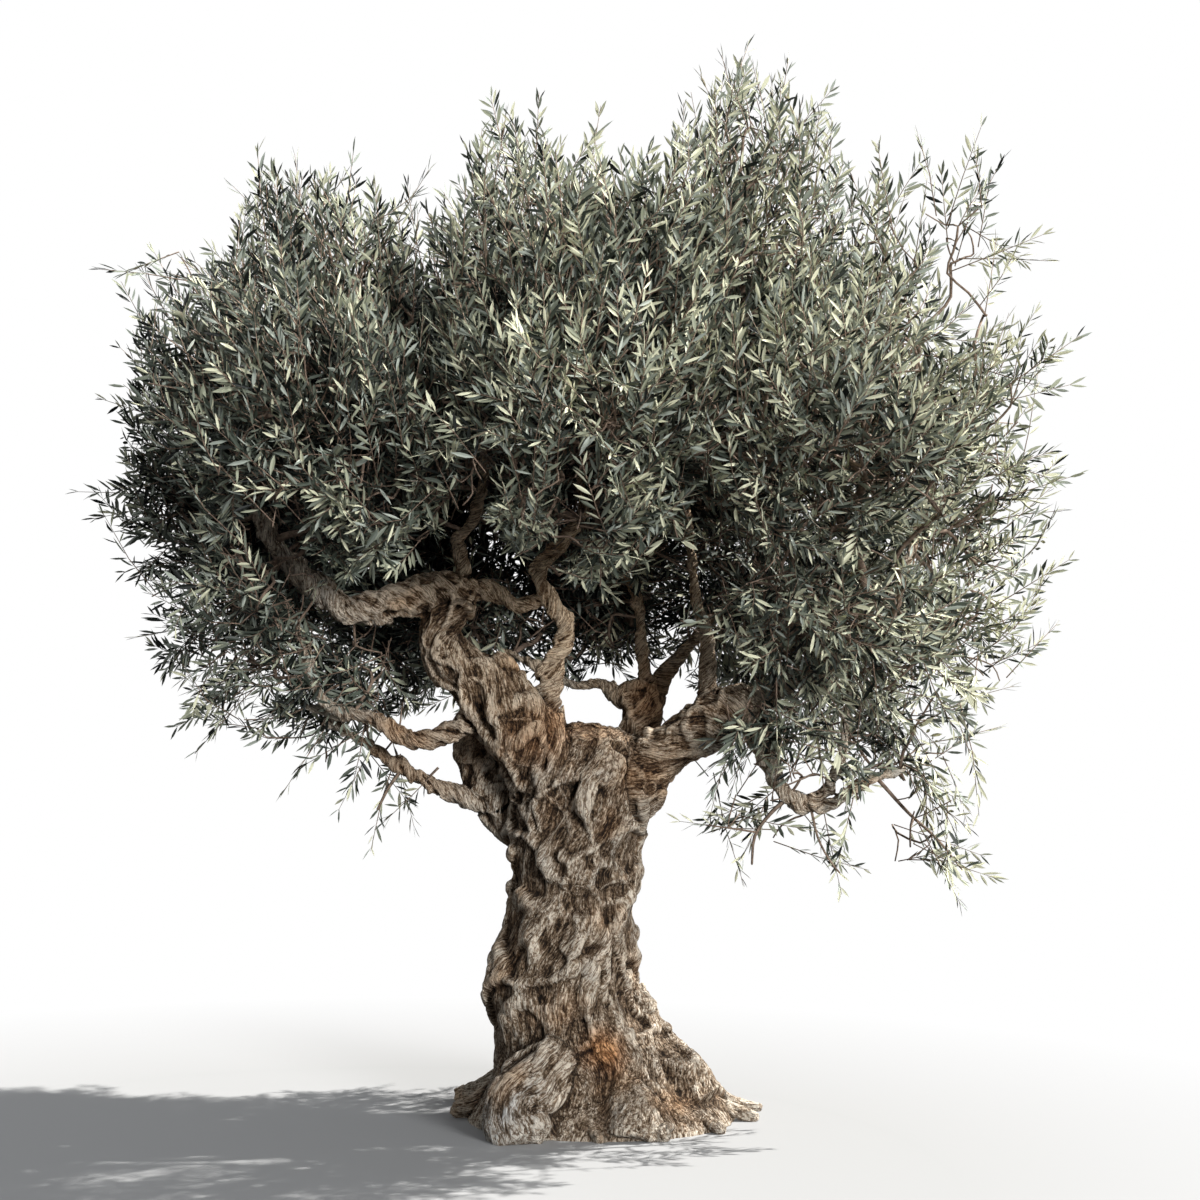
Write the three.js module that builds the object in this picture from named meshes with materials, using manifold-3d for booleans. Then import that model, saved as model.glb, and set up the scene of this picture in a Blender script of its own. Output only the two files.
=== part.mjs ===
// Olive tree: an old specimen with a gnarled, flaring trunk, twisted boughs and a broad, domed crown.
// Millimetres, +Z up. The origin is the middle of the flat cut at ground level, and +Y is the tree's back.
// The trunk and every bough are closed tapering tubes, and each mass of foliage is a closed, lumpy solid.

import * as THREE from "three";
import { mergeVertices } from "three/addons/utils/BufferGeometryUtils.js";
import Module from "manifold-3d";

const wasm = await Module();
wasm.setup();

// ---------------------------------------------------------------- driving dimensions

const GAP = 0.4; // clearance left between neighbouring solids
const TRUNK_SIDES = 24; // facets round the trunk
const TRUNK_STEPS = 13; // rings up the trunk
const BOUGH_SIDES = 7; // facets round a bough
const BOUGH_STEP = 170; // spacing of the rings along a bough
const FLARE_HEIGHT = 190; // height over which a root's swelling fades
const MASS_DETAIL = 3; // cuts along each edge of the octahedron that a mass is shaped from
const SMALL_MASS = 340; // a mass with no half size over this has one cut fewer
const LUMPS = 12; // lumps on a mass of foliage
const LUMP_HEIGHT = 0.24; // height of a lump, as a share of the mass's half size
const LUMP_SHARPNESS = 6; // the higher, the narrower a lump

// The trunk's rings from the ground up: height, middle x and y, half width, half depth.
const TRUNK = [
  [0, 20, 60, 450, 370],
  [120, 0, 45, 390, 315],
  [250, -35, 20, 335, 280],
  [450, -100, 0, 300, 258],
  [620, -95, 0, 270, 248],
  [800, -58, 0, 250, 240],
  [1000, -52, 0, 262, 240],
  [1180, -35, 0, 282, 240],
  [1320, 0, 10, 240, 215],
  [1420, 15, 15, 180, 170],
  [1475, 15, 20, 110, 110],
];

// Roots that swell the foot: bearing in degrees from +X towards +Y, reach past the foot, spread in degrees.
const ROOTS = [
  [12, 220, 22],
  [52, 130, 20],
  [98, 100, 22],
  [150, 180, 20],
  [182, 50, 14],
  [-124, 230, 15],
  [-80, 10, 20],
  [-50, -10, 20],
  [-15, 50, 12],
];

// Each bough springs from the trunk or from a bough above it in this list, and ends in the mass that it
// names. A point is x, y, z and the radius there.
const BOUGHS = {
  left_column: {
    into: "front_left",
    points: [
      [-110, -20, 1150, 160],
      [-170, -55, 1330, 172],
      [-270, -85, 1480, 162],
      [-400, -95, 1610, 140],
      [-515, -95, 1700, 118],
      [-550, -95, 1800, 100],
      [-505, -100, 1900, 86],
    ],
  },
  left_leg: {
    into: "left_skirt",
    points: [
      [-200, 70, 1000, 90],
      [-300, 95, 1130, 108],
      [-385, 110, 1250, 112],
      [-405, 115, 1360, 92],
      [-400, 115, 1420, 60],
    ],
  },
  left_arm: {
    into: "front_left",
    points: [
      [-440, -105, 1950, 76],
      [-570, -125, 1945, 82],
      [-740, -150, 1900, 74],
      [-870, -190, 1880, 62],
      [-960, -225, 1935, 58],
      [-1060, -260, 2030, 52],
      [-1150, -300, 2150, 42],
      [-1190, -340, 2300, 32],
    ],
  },
  arm_bridge: {
    into: "core",
    points: [
      [-450, -100, 1960, 60],
      [-370, -120, 1950, 44],
      [-270, -140, 1900, 36],
      [-190, -150, 1915, 34],
    ],
  },
  middle_stem: {
    into: "front_centre",
    points: [
      [-160, -100, 1520, 62],
      [-145, -120, 1660, 50],
      [-85, -140, 1810, 43],
      [-150, -160, 1925, 38],
      [-185, -170, 2010, 33],
      [-115, -200, 2110, 30],
      [-25, -240, 2220, 26],
      [-35, -290, 2380, 22],
      [20, -400, 2600, 16],
    ],
  },
  arm_spur: {
    into: "front_high",
    points: [
      [-455, -120, 2010, 32],
      [-480, -140, 2120, 24],
      [-420, -180, 2220, 21],
      [-380, -300, 2400, 17],
      [-420, -420, 2650, 14],
    ],
  },
  low_left_bough: {
    into: "left_skirt",
    points: [
      [-340, -100, 1520, 66],
      [-480, -130, 1450, 50],
      [-600, -140, 1410, 43],
      [-672, -130, 1415, 40],
      [-734, -110, 1450, 36],
      [-800, -80, 1487, 32],
      [-910, -40, 1500, 26],
    ],
  },
  left_riser: {
    into: "left_low",
    points: [
      [-890, -60, 1492, 25],
      [-985, -90, 1560, 22],
      [-1030, -100, 1690, 18],
      [-1090, -60, 1850, 14],
      [-1250, 0, 1950, 11],
    ],
  },
  under_bough: {
    into: "left_skirt",
    points: [
      [-380, 70, 1165, 58],
      [-503, 60, 1200, 42],
      [-596, 55, 1238, 37],
      [-689, 50, 1290, 33],
      [-770, 45, 1350, 27],
      [-860, 40, 1400, 21],
      [-980, 30, 1470, 16],
    ],
  },
  right_bough: {
    into: "front_right",
    points: [
      [80, -20, 1180, 170],
      [180, -35, 1290, 132],
      [280, -60, 1370, 112],
      [390, -85, 1450, 104],
      [505, -110, 1510, 112],
      [620, -130, 1500, 96],
    ],
  },
  right_droop: {
    into: "right_skirt",
    points: [
      [590, -160, 1470, 70],
      [645, -185, 1340, 47],
      [680, -200, 1245, 41],
      [731, -210, 1194, 37],
      [795, -200, 1165, 33],
      [870, -180, 1175, 26],
      [980, -150, 1240, 20],
    ],
  },
  right_hook: {
    into: "front_right_low",
    points: [
      [790, -205, 1168, 30],
      [850, -230, 1225, 22],
      [900, -260, 1330, 18],
      [915, -300, 1480, 14],
      [930, -400, 1680, 12],
    ],
  },
  right_riser: {
    into: "core",
    points: [
      [430, -100, 1560, 42],
      [428, -110, 1690, 30],
      [425, -110, 1790, 26],
      [395, -90, 1900, 22],
      [380, -60, 2020, 19],
      [360, 0, 2200, 16],
      [340, 40, 2400, 13],
    ],
  },
  back_knob: {
    into: "back_low_right",
    points: [
      [120, 110, 1300, 115],
      [180, 190, 1410, 96],
      [200, 230, 1510, 88],
      [190, 250, 1600, 70],
    ],
  },
  back_riser: {
    into: "core",
    points: [
      [215, 225, 1560, 38],
      [205, 230, 1680, 25],
      [195, 235, 1800, 21],
      [180, 240, 1900, 19],
      [130, 230, 2060, 17],
      [100, 200, 2260, 14],
    ],
  },
  back_diagonal: {
    into: "back_low_right",
    points: [
      [225, 240, 1560, 44],
      [300, 260, 1660, 36],
      [370, 280, 1740, 26],
      [450, 340, 1840, 18],
      [560, 460, 1900, 14],
    ],
  },
  back_branch: {
    into: "back_low_left",
    points: [
      [130, 230, 1540, 30],
      [40, 260, 1605, 22],
      [-60, 300, 1600, 20],
      [-180, 380, 1660, 17],
      [-400, 520, 1780, 14],
    ],
  },
};

// Masses of foliage: middle x, y, z, then half sizes along x, y, z, then the seed of its lumps.
const MASSES = {
  crown_top: [600, -40, 3400, 430, 430, 610, 3],
  centre_top: [-250, 40, 3240, 410, 430, 560, 5],
  left_dome: [-1040, 40, 3080, 460, 450, 500, 8],
  left_corner: [-1490, 20, 2780, 330, 380, 400, 13],
  left_far: [-1470, -40, 2360, 390, 420, 340, 21],
  left_low: [-1370, 60, 1880, 350, 400, 350, 34],
  left_skirt: [-1130, 90, 1550, 390, 360, 230, 55],
  left_tips: [-790, 60, 1190, 130, 130, 200, 89],
  right_shoulder: [1190, 20, 3180, 400, 420, 440, 4],
  right_upper: [1480, 0, 2680, 345, 400, 350, 9],
  right_far: [1470, 20, 2260, 350, 400, 340, 16],
  right_low: [1330, 0, 1800, 340, 380, 350, 25],
  right_skirt: [1130, -80, 1310, 390, 330, 290, 36],
  right_tips: [1330, -80, 930, 140, 130, 190, 49],
  inner_tips: [640, -190, 1030, 285, 150, 190, 64],
  front_left: [-860, -720, 2500, 520, 450, 480, 2],
  front_centre: [-20, -840, 2580, 500, 440, 480, 7],
  front_high: [-60, -480, 3060, 700, 450, 450, 10],
  front_right: [790, -720, 2480, 520, 450, 500, 11],
  front_right_low: [980, -520, 1860, 400, 380, 370, 12],
  front_left_low: [-1160, -520, 2010, 320, 330, 320, 14],
  core: [60, 60, 2540, 640, 520, 470, 15],
  back_left: [-760, 720, 2660, 600, 540, 620, 17],
  back_centre: [60, 980, 2800, 620, 540, 680, 18],
  back_right: [860, 720, 2660, 600, 540, 620, 19],
  back_low_left: [-640, 660, 1900, 520, 440, 370, 20],
  back_low_right: [740, 660, 1860, 560, 460, 390, 22],
  back_low_centre: [60, 640, 1950, 400, 380, 300, 23],
};

// ---------------------------------------------------------------- helpers

// Repeatable random numbers from 0 to 1.
function dice(seed) {
  let state = Math.imul(seed, 0x9e3779b1);
  return () => {
    state = (state + 0x6d2b79f5) | 0;
    let mixed = Math.imul(state ^ (state >>> 15), 1 | state);
    mixed = (mixed + Math.imul(mixed ^ (mixed >>> 7), 61 | mixed)) ^ mixed;
    return ((mixed ^ (mixed >>> 14)) >>> 0) / 2 ** 32;
  };
}

// A closed geometry with only positions and shared vertices.
function plain(geometry) {
  geometry.deleteAttribute("normal");
  geometry.deleteAttribute("uv");
  return mergeVertices(geometry, 1e-4);
}

// The closed solid of a plain geometry.
function solid(geometry) {
  const mesh = new wasm.Mesh({
    numProp: 3,
    vertProperties: geometry.attributes.position.array,
    triVerts: new Uint32Array(geometry.index.array),
  });
  return new wasm.Manifold(mesh);
}

// The largest of a solid's separate bodies.
function largest(shape) {
  return shape.decompose().reduce((best, body) => (body.volume() > best.volume() ? body : best));
}

// A smooth curve through a column of numbers, read at a share from 0 to 1 of the way down it.
function smooth(column) {
  const curve = new THREE.CatmullRomCurve3(column.map((value, row) => new THREE.Vector3(row, value, 0)));
  return (share) => curve.getPoint(share).y;
}

// ---------------------------------------------------------------- trunk, boughs and masses

// How far the roots push the foot out at this bearing, fading with height.
function rootReach(bearing, height) {
  let reach = 0;
  for (const [middle, length, spread] of ROOTS) {
    const turn = THREE.MathUtils.euclideanModulo(bearing - middle + 180, 360) - 180;
    reach += length * Math.exp(-((turn / spread) ** 2));
  }
  return reach * Math.exp(-height / FLARE_HEIGHT);
}

// The trunk: a closed cylinder whose rings take the sizes of the TRUNK list, swollen at the foot by the
// roots.
function trunk(extra) {
  const geometry = plain(new THREE.CylinderGeometry(1, 1, 1, TRUNK_SIDES, TRUNK_STEPS));
  const place = geometry.attributes.position;
  const column = (k) => smooth(TRUNK.map((ring) => ring[k]));
  const [height, middleX, middleY, halfX, halfY] = [0, 1, 2, 3, 4].map(column);
  for (let i = 0; i < place.count; i++) {
    const share = place.getY(i) + 0.5;
    const [x, y] = [place.getX(i), -place.getZ(i)];
    const z = Math.max(0, height(share));
    const reach = rootReach(THREE.MathUtils.radToDeg(Math.atan2(y, x)), z) + extra;
    const lift = share === 1 ? extra : 0;
    const spotX = middleX(share) + x * (halfX(share) + reach);
    const spotY = middleY(share) + y * (halfY(share) + reach);
    place.setXYZ(i, spotX, spotY, z + lift);
  }
  return solid(geometry);
}

// A bough: a closed cylinder bent along the smooth curve through its points, with the radius given at each.
function bough({ points }, extra) {
  const curve = new THREE.CatmullRomCurve3(points.map(([x, y, z]) => new THREE.Vector3(x, y, z)));
  const radius = smooth(points.map((point) => point[3]));
  const steps = Math.max(3, Math.round(curve.getLength() / BOUGH_STEP));
  const frames = curve.computeFrenetFrames(steps, false);
  const geometry = plain(new THREE.CylinderGeometry(1, 1, 1, BOUGH_SIDES, steps));
  const place = geometry.attributes.position;
  for (let i = 0; i < place.count; i++) {
    const step = Math.round((place.getY(i) + 0.5) * steps);
    const share = curve.getUtoTmapping(step / steps);
    const reach = radius(share) + extra;
    const endward = step === 0 ? -extra : step === steps ? extra : 0;
    const spot = curve
      .getPoint(share)
      .addScaledVector(frames.normals[step], place.getX(i) * reach)
      .addScaledVector(frames.binormals[step], -place.getZ(i) * reach)
      .addScaledVector(frames.tangents[step], endward);
    place.setXYZ(i, spot.x, spot.y, spot.z);
  }
  return solid(geometry);
}

// A mass of foliage: an ellipsoid with rounded lumps pushed out at seeded bearings.
function mass([x, y, z, halfX, halfY, halfZ, seed], extra) {
  const roll = dice(seed);
  const lumps = Array.from({ length: LUMPS }, () => {
    const rise = 2 * roll() - 1;
    const bearing = 2 * Math.PI * roll();
    const flat = Math.sqrt(1 - rise * rise);
    return new THREE.Vector3(flat * Math.cos(bearing), flat * Math.sin(bearing), rise);
  });
  const detail = Math.max(halfX, halfY, halfZ) > SMALL_MASS ? MASS_DETAIL : MASS_DETAIL - 1;
  const geometry = plain(new THREE.OctahedronGeometry(1, detail));
  const place = geometry.attributes.position;
  const way = new THREE.Vector3();
  for (let i = 0; i < place.count; i++) {
    way.fromBufferAttribute(place, i).normalize();
    let reach = 1 - LUMP_HEIGHT / 2;
    for (const lump of lumps) reach += LUMP_HEIGHT * Math.max(0, way.dot(lump)) ** LUMP_SHARPNESS;
    const spotX = x + way.x * (halfX * reach + extra);
    const spotY = y + way.y * (halfY * reach + extra);
    const spotZ = z + way.z * (halfZ * reach + extra);
    place.setXYZ(i, spotX, spotY, spotZ);
  }
  return solid(geometry);
}

// ---------------------------------------------------------------- assembly

const bark = new THREE.MeshStandardMaterial({ color: 0x8a7560, roughness: 0.9, metalness: 0 });
const foliage = new THREE.MeshStandardMaterial({ color: 0x6b7462, roughness: 0.75, metalness: 0 });

// A mesh of the solid under its name.
function named(name, shape, material) {
  const { numProp, vertProperties, triVerts } = shape.getMesh();
  const places = new Float32Array((vertProperties.length / numProp) * 3);
  for (let i = 0; i < places.length / 3; i++) {
    places.set(vertProperties.subarray(i * numProp, i * numProp + 3), i * 3);
  }
  const geometry = new THREE.BufferGeometry();
  geometry.setAttribute("position", new THREE.BufferAttribute(places, 3));
  geometry.setIndex(new THREE.BufferAttribute(triVerts, 1));
  const mesh = new THREE.Mesh(geometry, material);
  mesh.name = name;
  return mesh;
}

// Every solid is cut back from all that came before it, so neighbours meet with only the gap between them.
const tree = new THREE.Group();
tree.add(named("trunk", trunk(0), bark));
let taken = trunk(GAP);
for (const [name, limb] of Object.entries(BOUGHS)) {
  const end = mass(MASSES[limb.into], GAP);
  tree.add(named(name, largest(bough(limb, 0).subtract(taken).subtract(end)), bark));
  taken = taken.add(bough(limb, GAP).subtract(mass(MASSES[limb.into], 0)));
}
for (const [name, sizes] of Object.entries(MASSES)) {
  tree.add(named(`foliage_${name}`, largest(mass(sizes, 0).subtract(taken)), foliage));
  taken = taken.add(mass(sizes, GAP));
}

export default tree;
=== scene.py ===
"""An old olive tree: a gnarled trunk with a root flare, twisted boughs and a broad crown of narrow leaves.

Metres, +Z up, the tree's front towards -Y. The wood is one skin: tubes along the trunk, roots and boughs,
with strands wound round them and ropes that wander over them, all joined and raised into rough bark. The
crown grows from the boughs: every bud joins the branch that gives a short way back to a bough, and carries a
leafy shoot. The crown keeps inside its outline and clear of the bare boughs, as seen from the front.
"""

import math
from collections import namedtuple

import bpy
import numpy as np
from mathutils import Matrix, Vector
from mathutils.bvhtree import BVHTree


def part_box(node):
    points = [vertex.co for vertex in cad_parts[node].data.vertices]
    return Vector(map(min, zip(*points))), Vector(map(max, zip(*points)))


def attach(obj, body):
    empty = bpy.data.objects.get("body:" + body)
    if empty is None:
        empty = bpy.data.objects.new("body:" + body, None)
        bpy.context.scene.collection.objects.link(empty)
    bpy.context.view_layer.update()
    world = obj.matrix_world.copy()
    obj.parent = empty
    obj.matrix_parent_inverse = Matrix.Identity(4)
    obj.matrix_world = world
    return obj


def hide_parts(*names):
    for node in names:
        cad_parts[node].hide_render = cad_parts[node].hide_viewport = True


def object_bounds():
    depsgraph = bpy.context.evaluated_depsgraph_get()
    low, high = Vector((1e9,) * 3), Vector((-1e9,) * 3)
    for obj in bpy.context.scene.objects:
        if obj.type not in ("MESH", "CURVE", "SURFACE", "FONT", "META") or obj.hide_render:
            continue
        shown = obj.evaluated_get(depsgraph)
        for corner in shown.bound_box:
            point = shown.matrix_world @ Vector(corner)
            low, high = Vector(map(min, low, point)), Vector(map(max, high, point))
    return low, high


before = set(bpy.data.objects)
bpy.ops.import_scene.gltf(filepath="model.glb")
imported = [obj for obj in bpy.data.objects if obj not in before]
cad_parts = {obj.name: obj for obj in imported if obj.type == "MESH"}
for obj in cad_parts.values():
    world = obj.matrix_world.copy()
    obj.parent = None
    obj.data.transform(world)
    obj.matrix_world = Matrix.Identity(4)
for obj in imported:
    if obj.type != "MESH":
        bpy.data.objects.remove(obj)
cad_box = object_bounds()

BODY = "root"
WORLD_UP = np.array([0.0, 0.0, 1.0])

# ------------------------------------------------------------------ driving dimensions: wood

# The trunk's rings from the ground up: height, middle x and y, half width, half depth.
TRUNK = [
    (0.00, 0.040, 0.040, 0.520, 0.440),
    (0.05, 0.030, 0.035, 0.475, 0.400),
    (0.13, 0.005, 0.030, 0.395, 0.335),
    (0.25, -0.030, 0.015, 0.325, 0.280),
    (0.45, -0.095, 0.000, 0.280, 0.240),
    (0.62, -0.090, 0.000, 0.250, 0.230),
    (0.80, -0.058, 0.000, 0.228, 0.220),
    (1.00, -0.052, 0.000, 0.236, 0.220),
    (1.18, -0.035, 0.000, 0.258, 0.220),
    (1.32, 0.000, 0.010, 0.220, 0.195),
    (1.42, 0.020, 0.015, 0.180, 0.165),
    (1.455, 0.030, 0.020, 0.150, 0.140),
]

# Buttress roots: bearing in degrees from +X towards +Y, reach from the axis, height where they leave the
# trunk, radius there and at the toe, and whether the toe is blunt.
ROOTS = [
    (12, 0.66, 0.56, 0.075, 0.018, False),
    (-4, 0.61, 0.46, 0.070, 0.024, False),
    (-27, 0.54, 0.38, 0.070, 0.022, False),
    (-52, 0.47, 0.30, 0.065, 0.024, False),
    (-82, 0.42, 0.24, 0.065, 0.024, False),
    (-123, 0.44, 0.27, 0.120, 0.125, True),
    (-156, 0.42, 0.34, 0.080, 0.045, False),
    (172, 0.50, 0.42, 0.080, 0.036, False),
    (143, 0.64, 0.44, 0.085, 0.030, False),
    (98, 0.48, 0.42, 0.085, 0.034, False),
    (52, 0.56, 0.46, 0.085, 0.030, False),
]

# Limbs: x, y, z and the radius there. They spring from the trunk or from each other.
LIMBS = {
    "left_column": [
        (-0.09, -0.02, 1.12, 0.150),
        (-0.17, -0.055, 1.33, 0.158),
        (-0.27, -0.085, 1.48, 0.146),
        (-0.40, -0.095, 1.61, 0.124),
        (-0.515, -0.095, 1.70, 0.104),
        (-0.55, -0.095, 1.80, 0.088),
        (-0.50, -0.10, 1.90, 0.078),
        (-0.46, -0.10, 1.97, 0.062),
    ],
    "left_leg": [
        (-0.20, 0.07, 1.00, 0.085),
        (-0.30, 0.095, 1.13, 0.095),
        (-0.385, 0.11, 1.25, 0.098),
        (-0.415, 0.115, 1.36, 0.078),
        (-0.41, 0.115, 1.41, 0.055),
    ],
    "left_arm": [
        (-0.44, -0.105, 1.95, 0.066),
        (-0.57, -0.125, 1.945, 0.072),
        (-0.74, -0.15, 1.90, 0.066),
        (-0.87, -0.19, 1.88, 0.054),
        (-0.96, -0.225, 1.935, 0.049),
        (-1.06, -0.26, 2.03, 0.043),
        (-1.15, -0.30, 2.15, 0.035),
        (-1.19, -0.34, 2.30, 0.028),
        (-1.16, -0.42, 2.46, 0.020),
    ],
    "arm_bridge": [
        (-0.45, -0.10, 1.96, 0.052),
        (-0.37, -0.12, 1.95, 0.040),
        (-0.27, -0.14, 1.90, 0.033),
        (-0.19, -0.15, 1.915, 0.031),
        (-0.165, -0.16, 1.945, 0.030),
    ],
    "middle_stem": [
        (-0.16, -0.10, 1.50, 0.058),
        (-0.145, -0.12, 1.66, 0.046),
        (-0.085, -0.14, 1.81, 0.039),
        (-0.15, -0.16, 1.925, 0.034),
        (-0.185, -0.17, 2.01, 0.030),
        (-0.115, -0.20, 2.11, 0.026),
        (-0.025, -0.24, 2.22, 0.023),
        (-0.035, -0.29, 2.38, 0.019),
        (0.02, -0.40, 2.60, 0.014),
    ],
    "arm_spur": [
        (-0.455, -0.12, 2.01, 0.029),
        (-0.48, -0.14, 2.12, 0.023),
        (-0.42, -0.18, 2.22, 0.019),
        (-0.38, -0.30, 2.40, 0.016),
        (-0.42, -0.42, 2.65, 0.013),
    ],
    "low_left_bough": [
        (-0.34, -0.10, 1.52, 0.062),
        (-0.48, -0.13, 1.45, 0.046),
        (-0.60, -0.14, 1.41, 0.039),
        (-0.672, -0.13, 1.415, 0.036),
        (-0.734, -0.11, 1.45, 0.032),
        (-0.80, -0.08, 1.487, 0.028),
        (-0.91, -0.04, 1.50, 0.023),
        (-1.05, 0.00, 1.52, 0.016),
    ],
    "left_riser": [
        (-0.89, -0.06, 1.492, 0.023),
        (-0.985, -0.09, 1.56, 0.020),
        (-1.03, -0.10, 1.69, 0.017),
        (-1.09, -0.06, 1.85, 0.014),
        (-1.25, 0.00, 1.95, 0.011),
    ],
    "under_bough": [
        (-0.38, 0.07, 1.165, 0.054),
        (-0.503, 0.06, 1.20, 0.039),
        (-0.596, 0.055, 1.238, 0.033),
        (-0.689, 0.05, 1.29, 0.029),
        (-0.77, 0.045, 1.35, 0.024),
        (-0.86, 0.04, 1.40, 0.019),
        (-0.98, 0.03, 1.47, 0.015),
    ],
    "right_bough": [
        (0.07, -0.02, 1.16, 0.155),
        (0.18, -0.035, 1.29, 0.116),
        (0.28, -0.06, 1.37, 0.098),
        (0.39, -0.085, 1.45, 0.090),
        (0.505, -0.11, 1.51, 0.095),
        (0.60, -0.13, 1.50, 0.080),
    ],
    "right_droop": [
        (0.59, -0.16, 1.47, 0.060),
        (0.645, -0.185, 1.34, 0.042),
        (0.68, -0.20, 1.245, 0.036),
        (0.731, -0.21, 1.194, 0.033),
        (0.795, -0.20, 1.165, 0.029),
        (0.87, -0.18, 1.175, 0.024),
        (0.98, -0.15, 1.24, 0.019),
        (1.15, -0.11, 1.30, 0.013),
    ],
    "right_hook": [
        (0.79, -0.205, 1.168, 0.026),
        (0.85, -0.23, 1.225, 0.020),
        (0.90, -0.26, 1.33, 0.017),
        (0.915, -0.30, 1.48, 0.014),
        (0.93, -0.40, 1.68, 0.012),
    ],
    "right_riser": [
        (0.43, -0.10, 1.56, 0.038),
        (0.428, -0.11, 1.69, 0.028),
        (0.425, -0.11, 1.79, 0.024),
        (0.395, -0.09, 1.90, 0.021),
        (0.38, -0.06, 2.02, 0.018),
        (0.36, 0.00, 2.20, 0.015),
        (0.34, 0.04, 2.40, 0.012),
    ],
    "right_reach": [
        (0.58, -0.13, 1.52, 0.048),
        (0.70, -0.16, 1.60, 0.034),
        (0.84, -0.22, 1.66, 0.027),
        (0.98, -0.28, 1.78, 0.021),
        (1.12, -0.22, 1.98, 0.017),
        (1.22, -0.10, 2.25, 0.013),
    ],
    "back_knob": [
        (0.12, 0.11, 1.30, 0.105),
        (0.18, 0.19, 1.41, 0.086),
        (0.20, 0.23, 1.51, 0.078),
        (0.19, 0.25, 1.59, 0.062),
    ],
    "back_riser": [
        (0.215, 0.225, 1.56, 0.035),
        (0.205, 0.23, 1.68, 0.024),
        (0.195, 0.235, 1.80, 0.020),
        (0.18, 0.24, 1.90, 0.018),
        (0.13, 0.23, 2.06, 0.016),
        (0.10, 0.20, 2.26, 0.013),
    ],
    "back_diagonal": [
        (0.225, 0.24, 1.56, 0.040),
        (0.30, 0.26, 1.66, 0.032),
        (0.37, 0.28, 1.74, 0.025),
        (0.45, 0.34, 1.84, 0.019),
        (0.56, 0.46, 1.90, 0.015),
        (0.72, 0.60, 2.05, 0.012),
    ],
    "back_branch": [
        (0.13, 0.23, 1.54, 0.028),
        (0.04, 0.26, 1.605, 0.021),
        (-0.06, 0.30, 1.60, 0.019),
        (-0.18, 0.38, 1.66, 0.016),
        (-0.40, 0.52, 1.78, 0.013),
        (-0.55, 0.65, 2.00, 0.011),
    ],
}

# Thin hanging twigs: x, y, z and the radius there.
HANGING = {
    "droop_twig": [
        (0.715, -0.21, 1.20, 0.009),
        (0.65, -0.20, 1.14, 0.007),
        (0.595, -0.20, 1.06, 0.006),
        (0.585, -0.20, 0.96, 0.004),
    ],
    "droop_side_twig": [
        (0.60, -0.20, 1.075, 0.005),
        (0.50, -0.20, 1.09, 0.004),
        (0.42, -0.19, 1.10, 0.003),
    ],
    "hook_twig": [
        (0.80, -0.21, 1.15, 0.007),
        (0.82, -0.22, 1.06, 0.006),
        (0.86, -0.22, 0.98, 0.005),
        (0.90, -0.22, 0.93, 0.004),
    ],
    "skirt_twig": [
        (1.05, -0.14, 1.26, 0.010),
        (1.16, -0.12, 1.14, 0.008),
        (1.27, -0.10, 1.04, 0.006),
        (1.36, -0.09, 0.93, 0.004),
    ],
    "left_twig": [
        (-0.70, 0.05, 1.29, 0.008),
        (-0.75, 0.05, 1.22, 0.006),
        (-0.79, 0.05, 1.14, 0.005),
    ],
}

# Burls that swell the wood: x, y, z, how far they reach and how high they stand.
BURLS = [
    (0.19, -0.08, 0.80, 0.050, 0.026),
    (0.19, 0.00, 0.70, 0.045, 0.022),
    (-0.31, -0.08, 0.78, 0.055, 0.024),
    (-0.37, -0.02, 0.60, 0.070, 0.026),
    (-0.36, -0.08, 0.47, 0.070, 0.022),
    (-0.29, -0.05, 0.98, 0.055, 0.020),
    (0.57, -0.17, 1.57, 0.060, 0.026),
    (0.13, 0.23, 1.56, 0.050, 0.026),
    (0.27, 0.20, 1.55, 0.050, 0.022),
    (-0.45, 0.08, 1.38, 0.060, 0.022),
    (0.22, -0.22, 0.55, 0.060, 0.018),
]

STUMP_TOP = (0.03, 0.02, 1.455)  # the old cut at the top of the trunk
STUMP_REACH = 0.17  # how far it spreads
STUMP_LEFT = -0.125  # the cut ends this far to the left, where the left column springs
STUMP_LEAN = -0.10  # its slope towards +X
STUMP_DOME = 1.3  # how fast it falls off with the square of the distance from its middle
ROOT_START = 0.12  # roots begin this far from the trunk's axis
ROOT_SWAY = 0.03  # how far they sway sideways
LIMB_STEP = 0.02  # spacing of the samples along a limb
TRUNK_SIDES = 48  # corners of a ring round the trunk, a bough's core, a strand and a rope
CORE_SIDES = 20
STRAND_SIDES = 14
ROPE_SIDES = 10
THICK = 0.075  # limbs thicker than this count as thick
STRANDS_FOR = [(0.16, 10), (THICK, 5), (0.022, 3)]  # a limb at least this thick has so many strands
STRAND_WIDTH = 1.05  # at 1 neighbouring strands would just touch
STRAND_SWAY = 0.35  # how far a strand sways about the limb, in radians
STRAND_SWELL = 0.16  # and how far it swells, as a share of its radius
CORE_SHARE = 0.95  # of the trunk's radius, under its strands
THICK_CORE = 0.86  # and of a thick and a thin bough's
THIN_CORE = 0.66
TRUNK_SLOPE = 0.25  # how far the strands wind round for each length of trunk
BOUGH_SLOPE = 0.90  # and on a bough
ROOT_SLOPE = 0.12  # and on a root
ROPE_SPACING = 0.150  # one metre of rope for each so many square metres of wood
ROPE_RADIUS = 0.029  # on the trunk, and thinner on thinner limbs
ROPE_THICKNESS = (0.65, 1.25)  # a rope has this share of it
ROPE_SWELL = 0.18  # and swells by this share along its way
ROPE_FULL = 0.25  # limb radius at which ropes have their full size
ROPE_SHRINK = 0.65  # they follow this power of the limb's radius
ROPE_CALM = (0.15, 0.55)  # share of their swing at the ground, and the height that adds a whole swing
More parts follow.
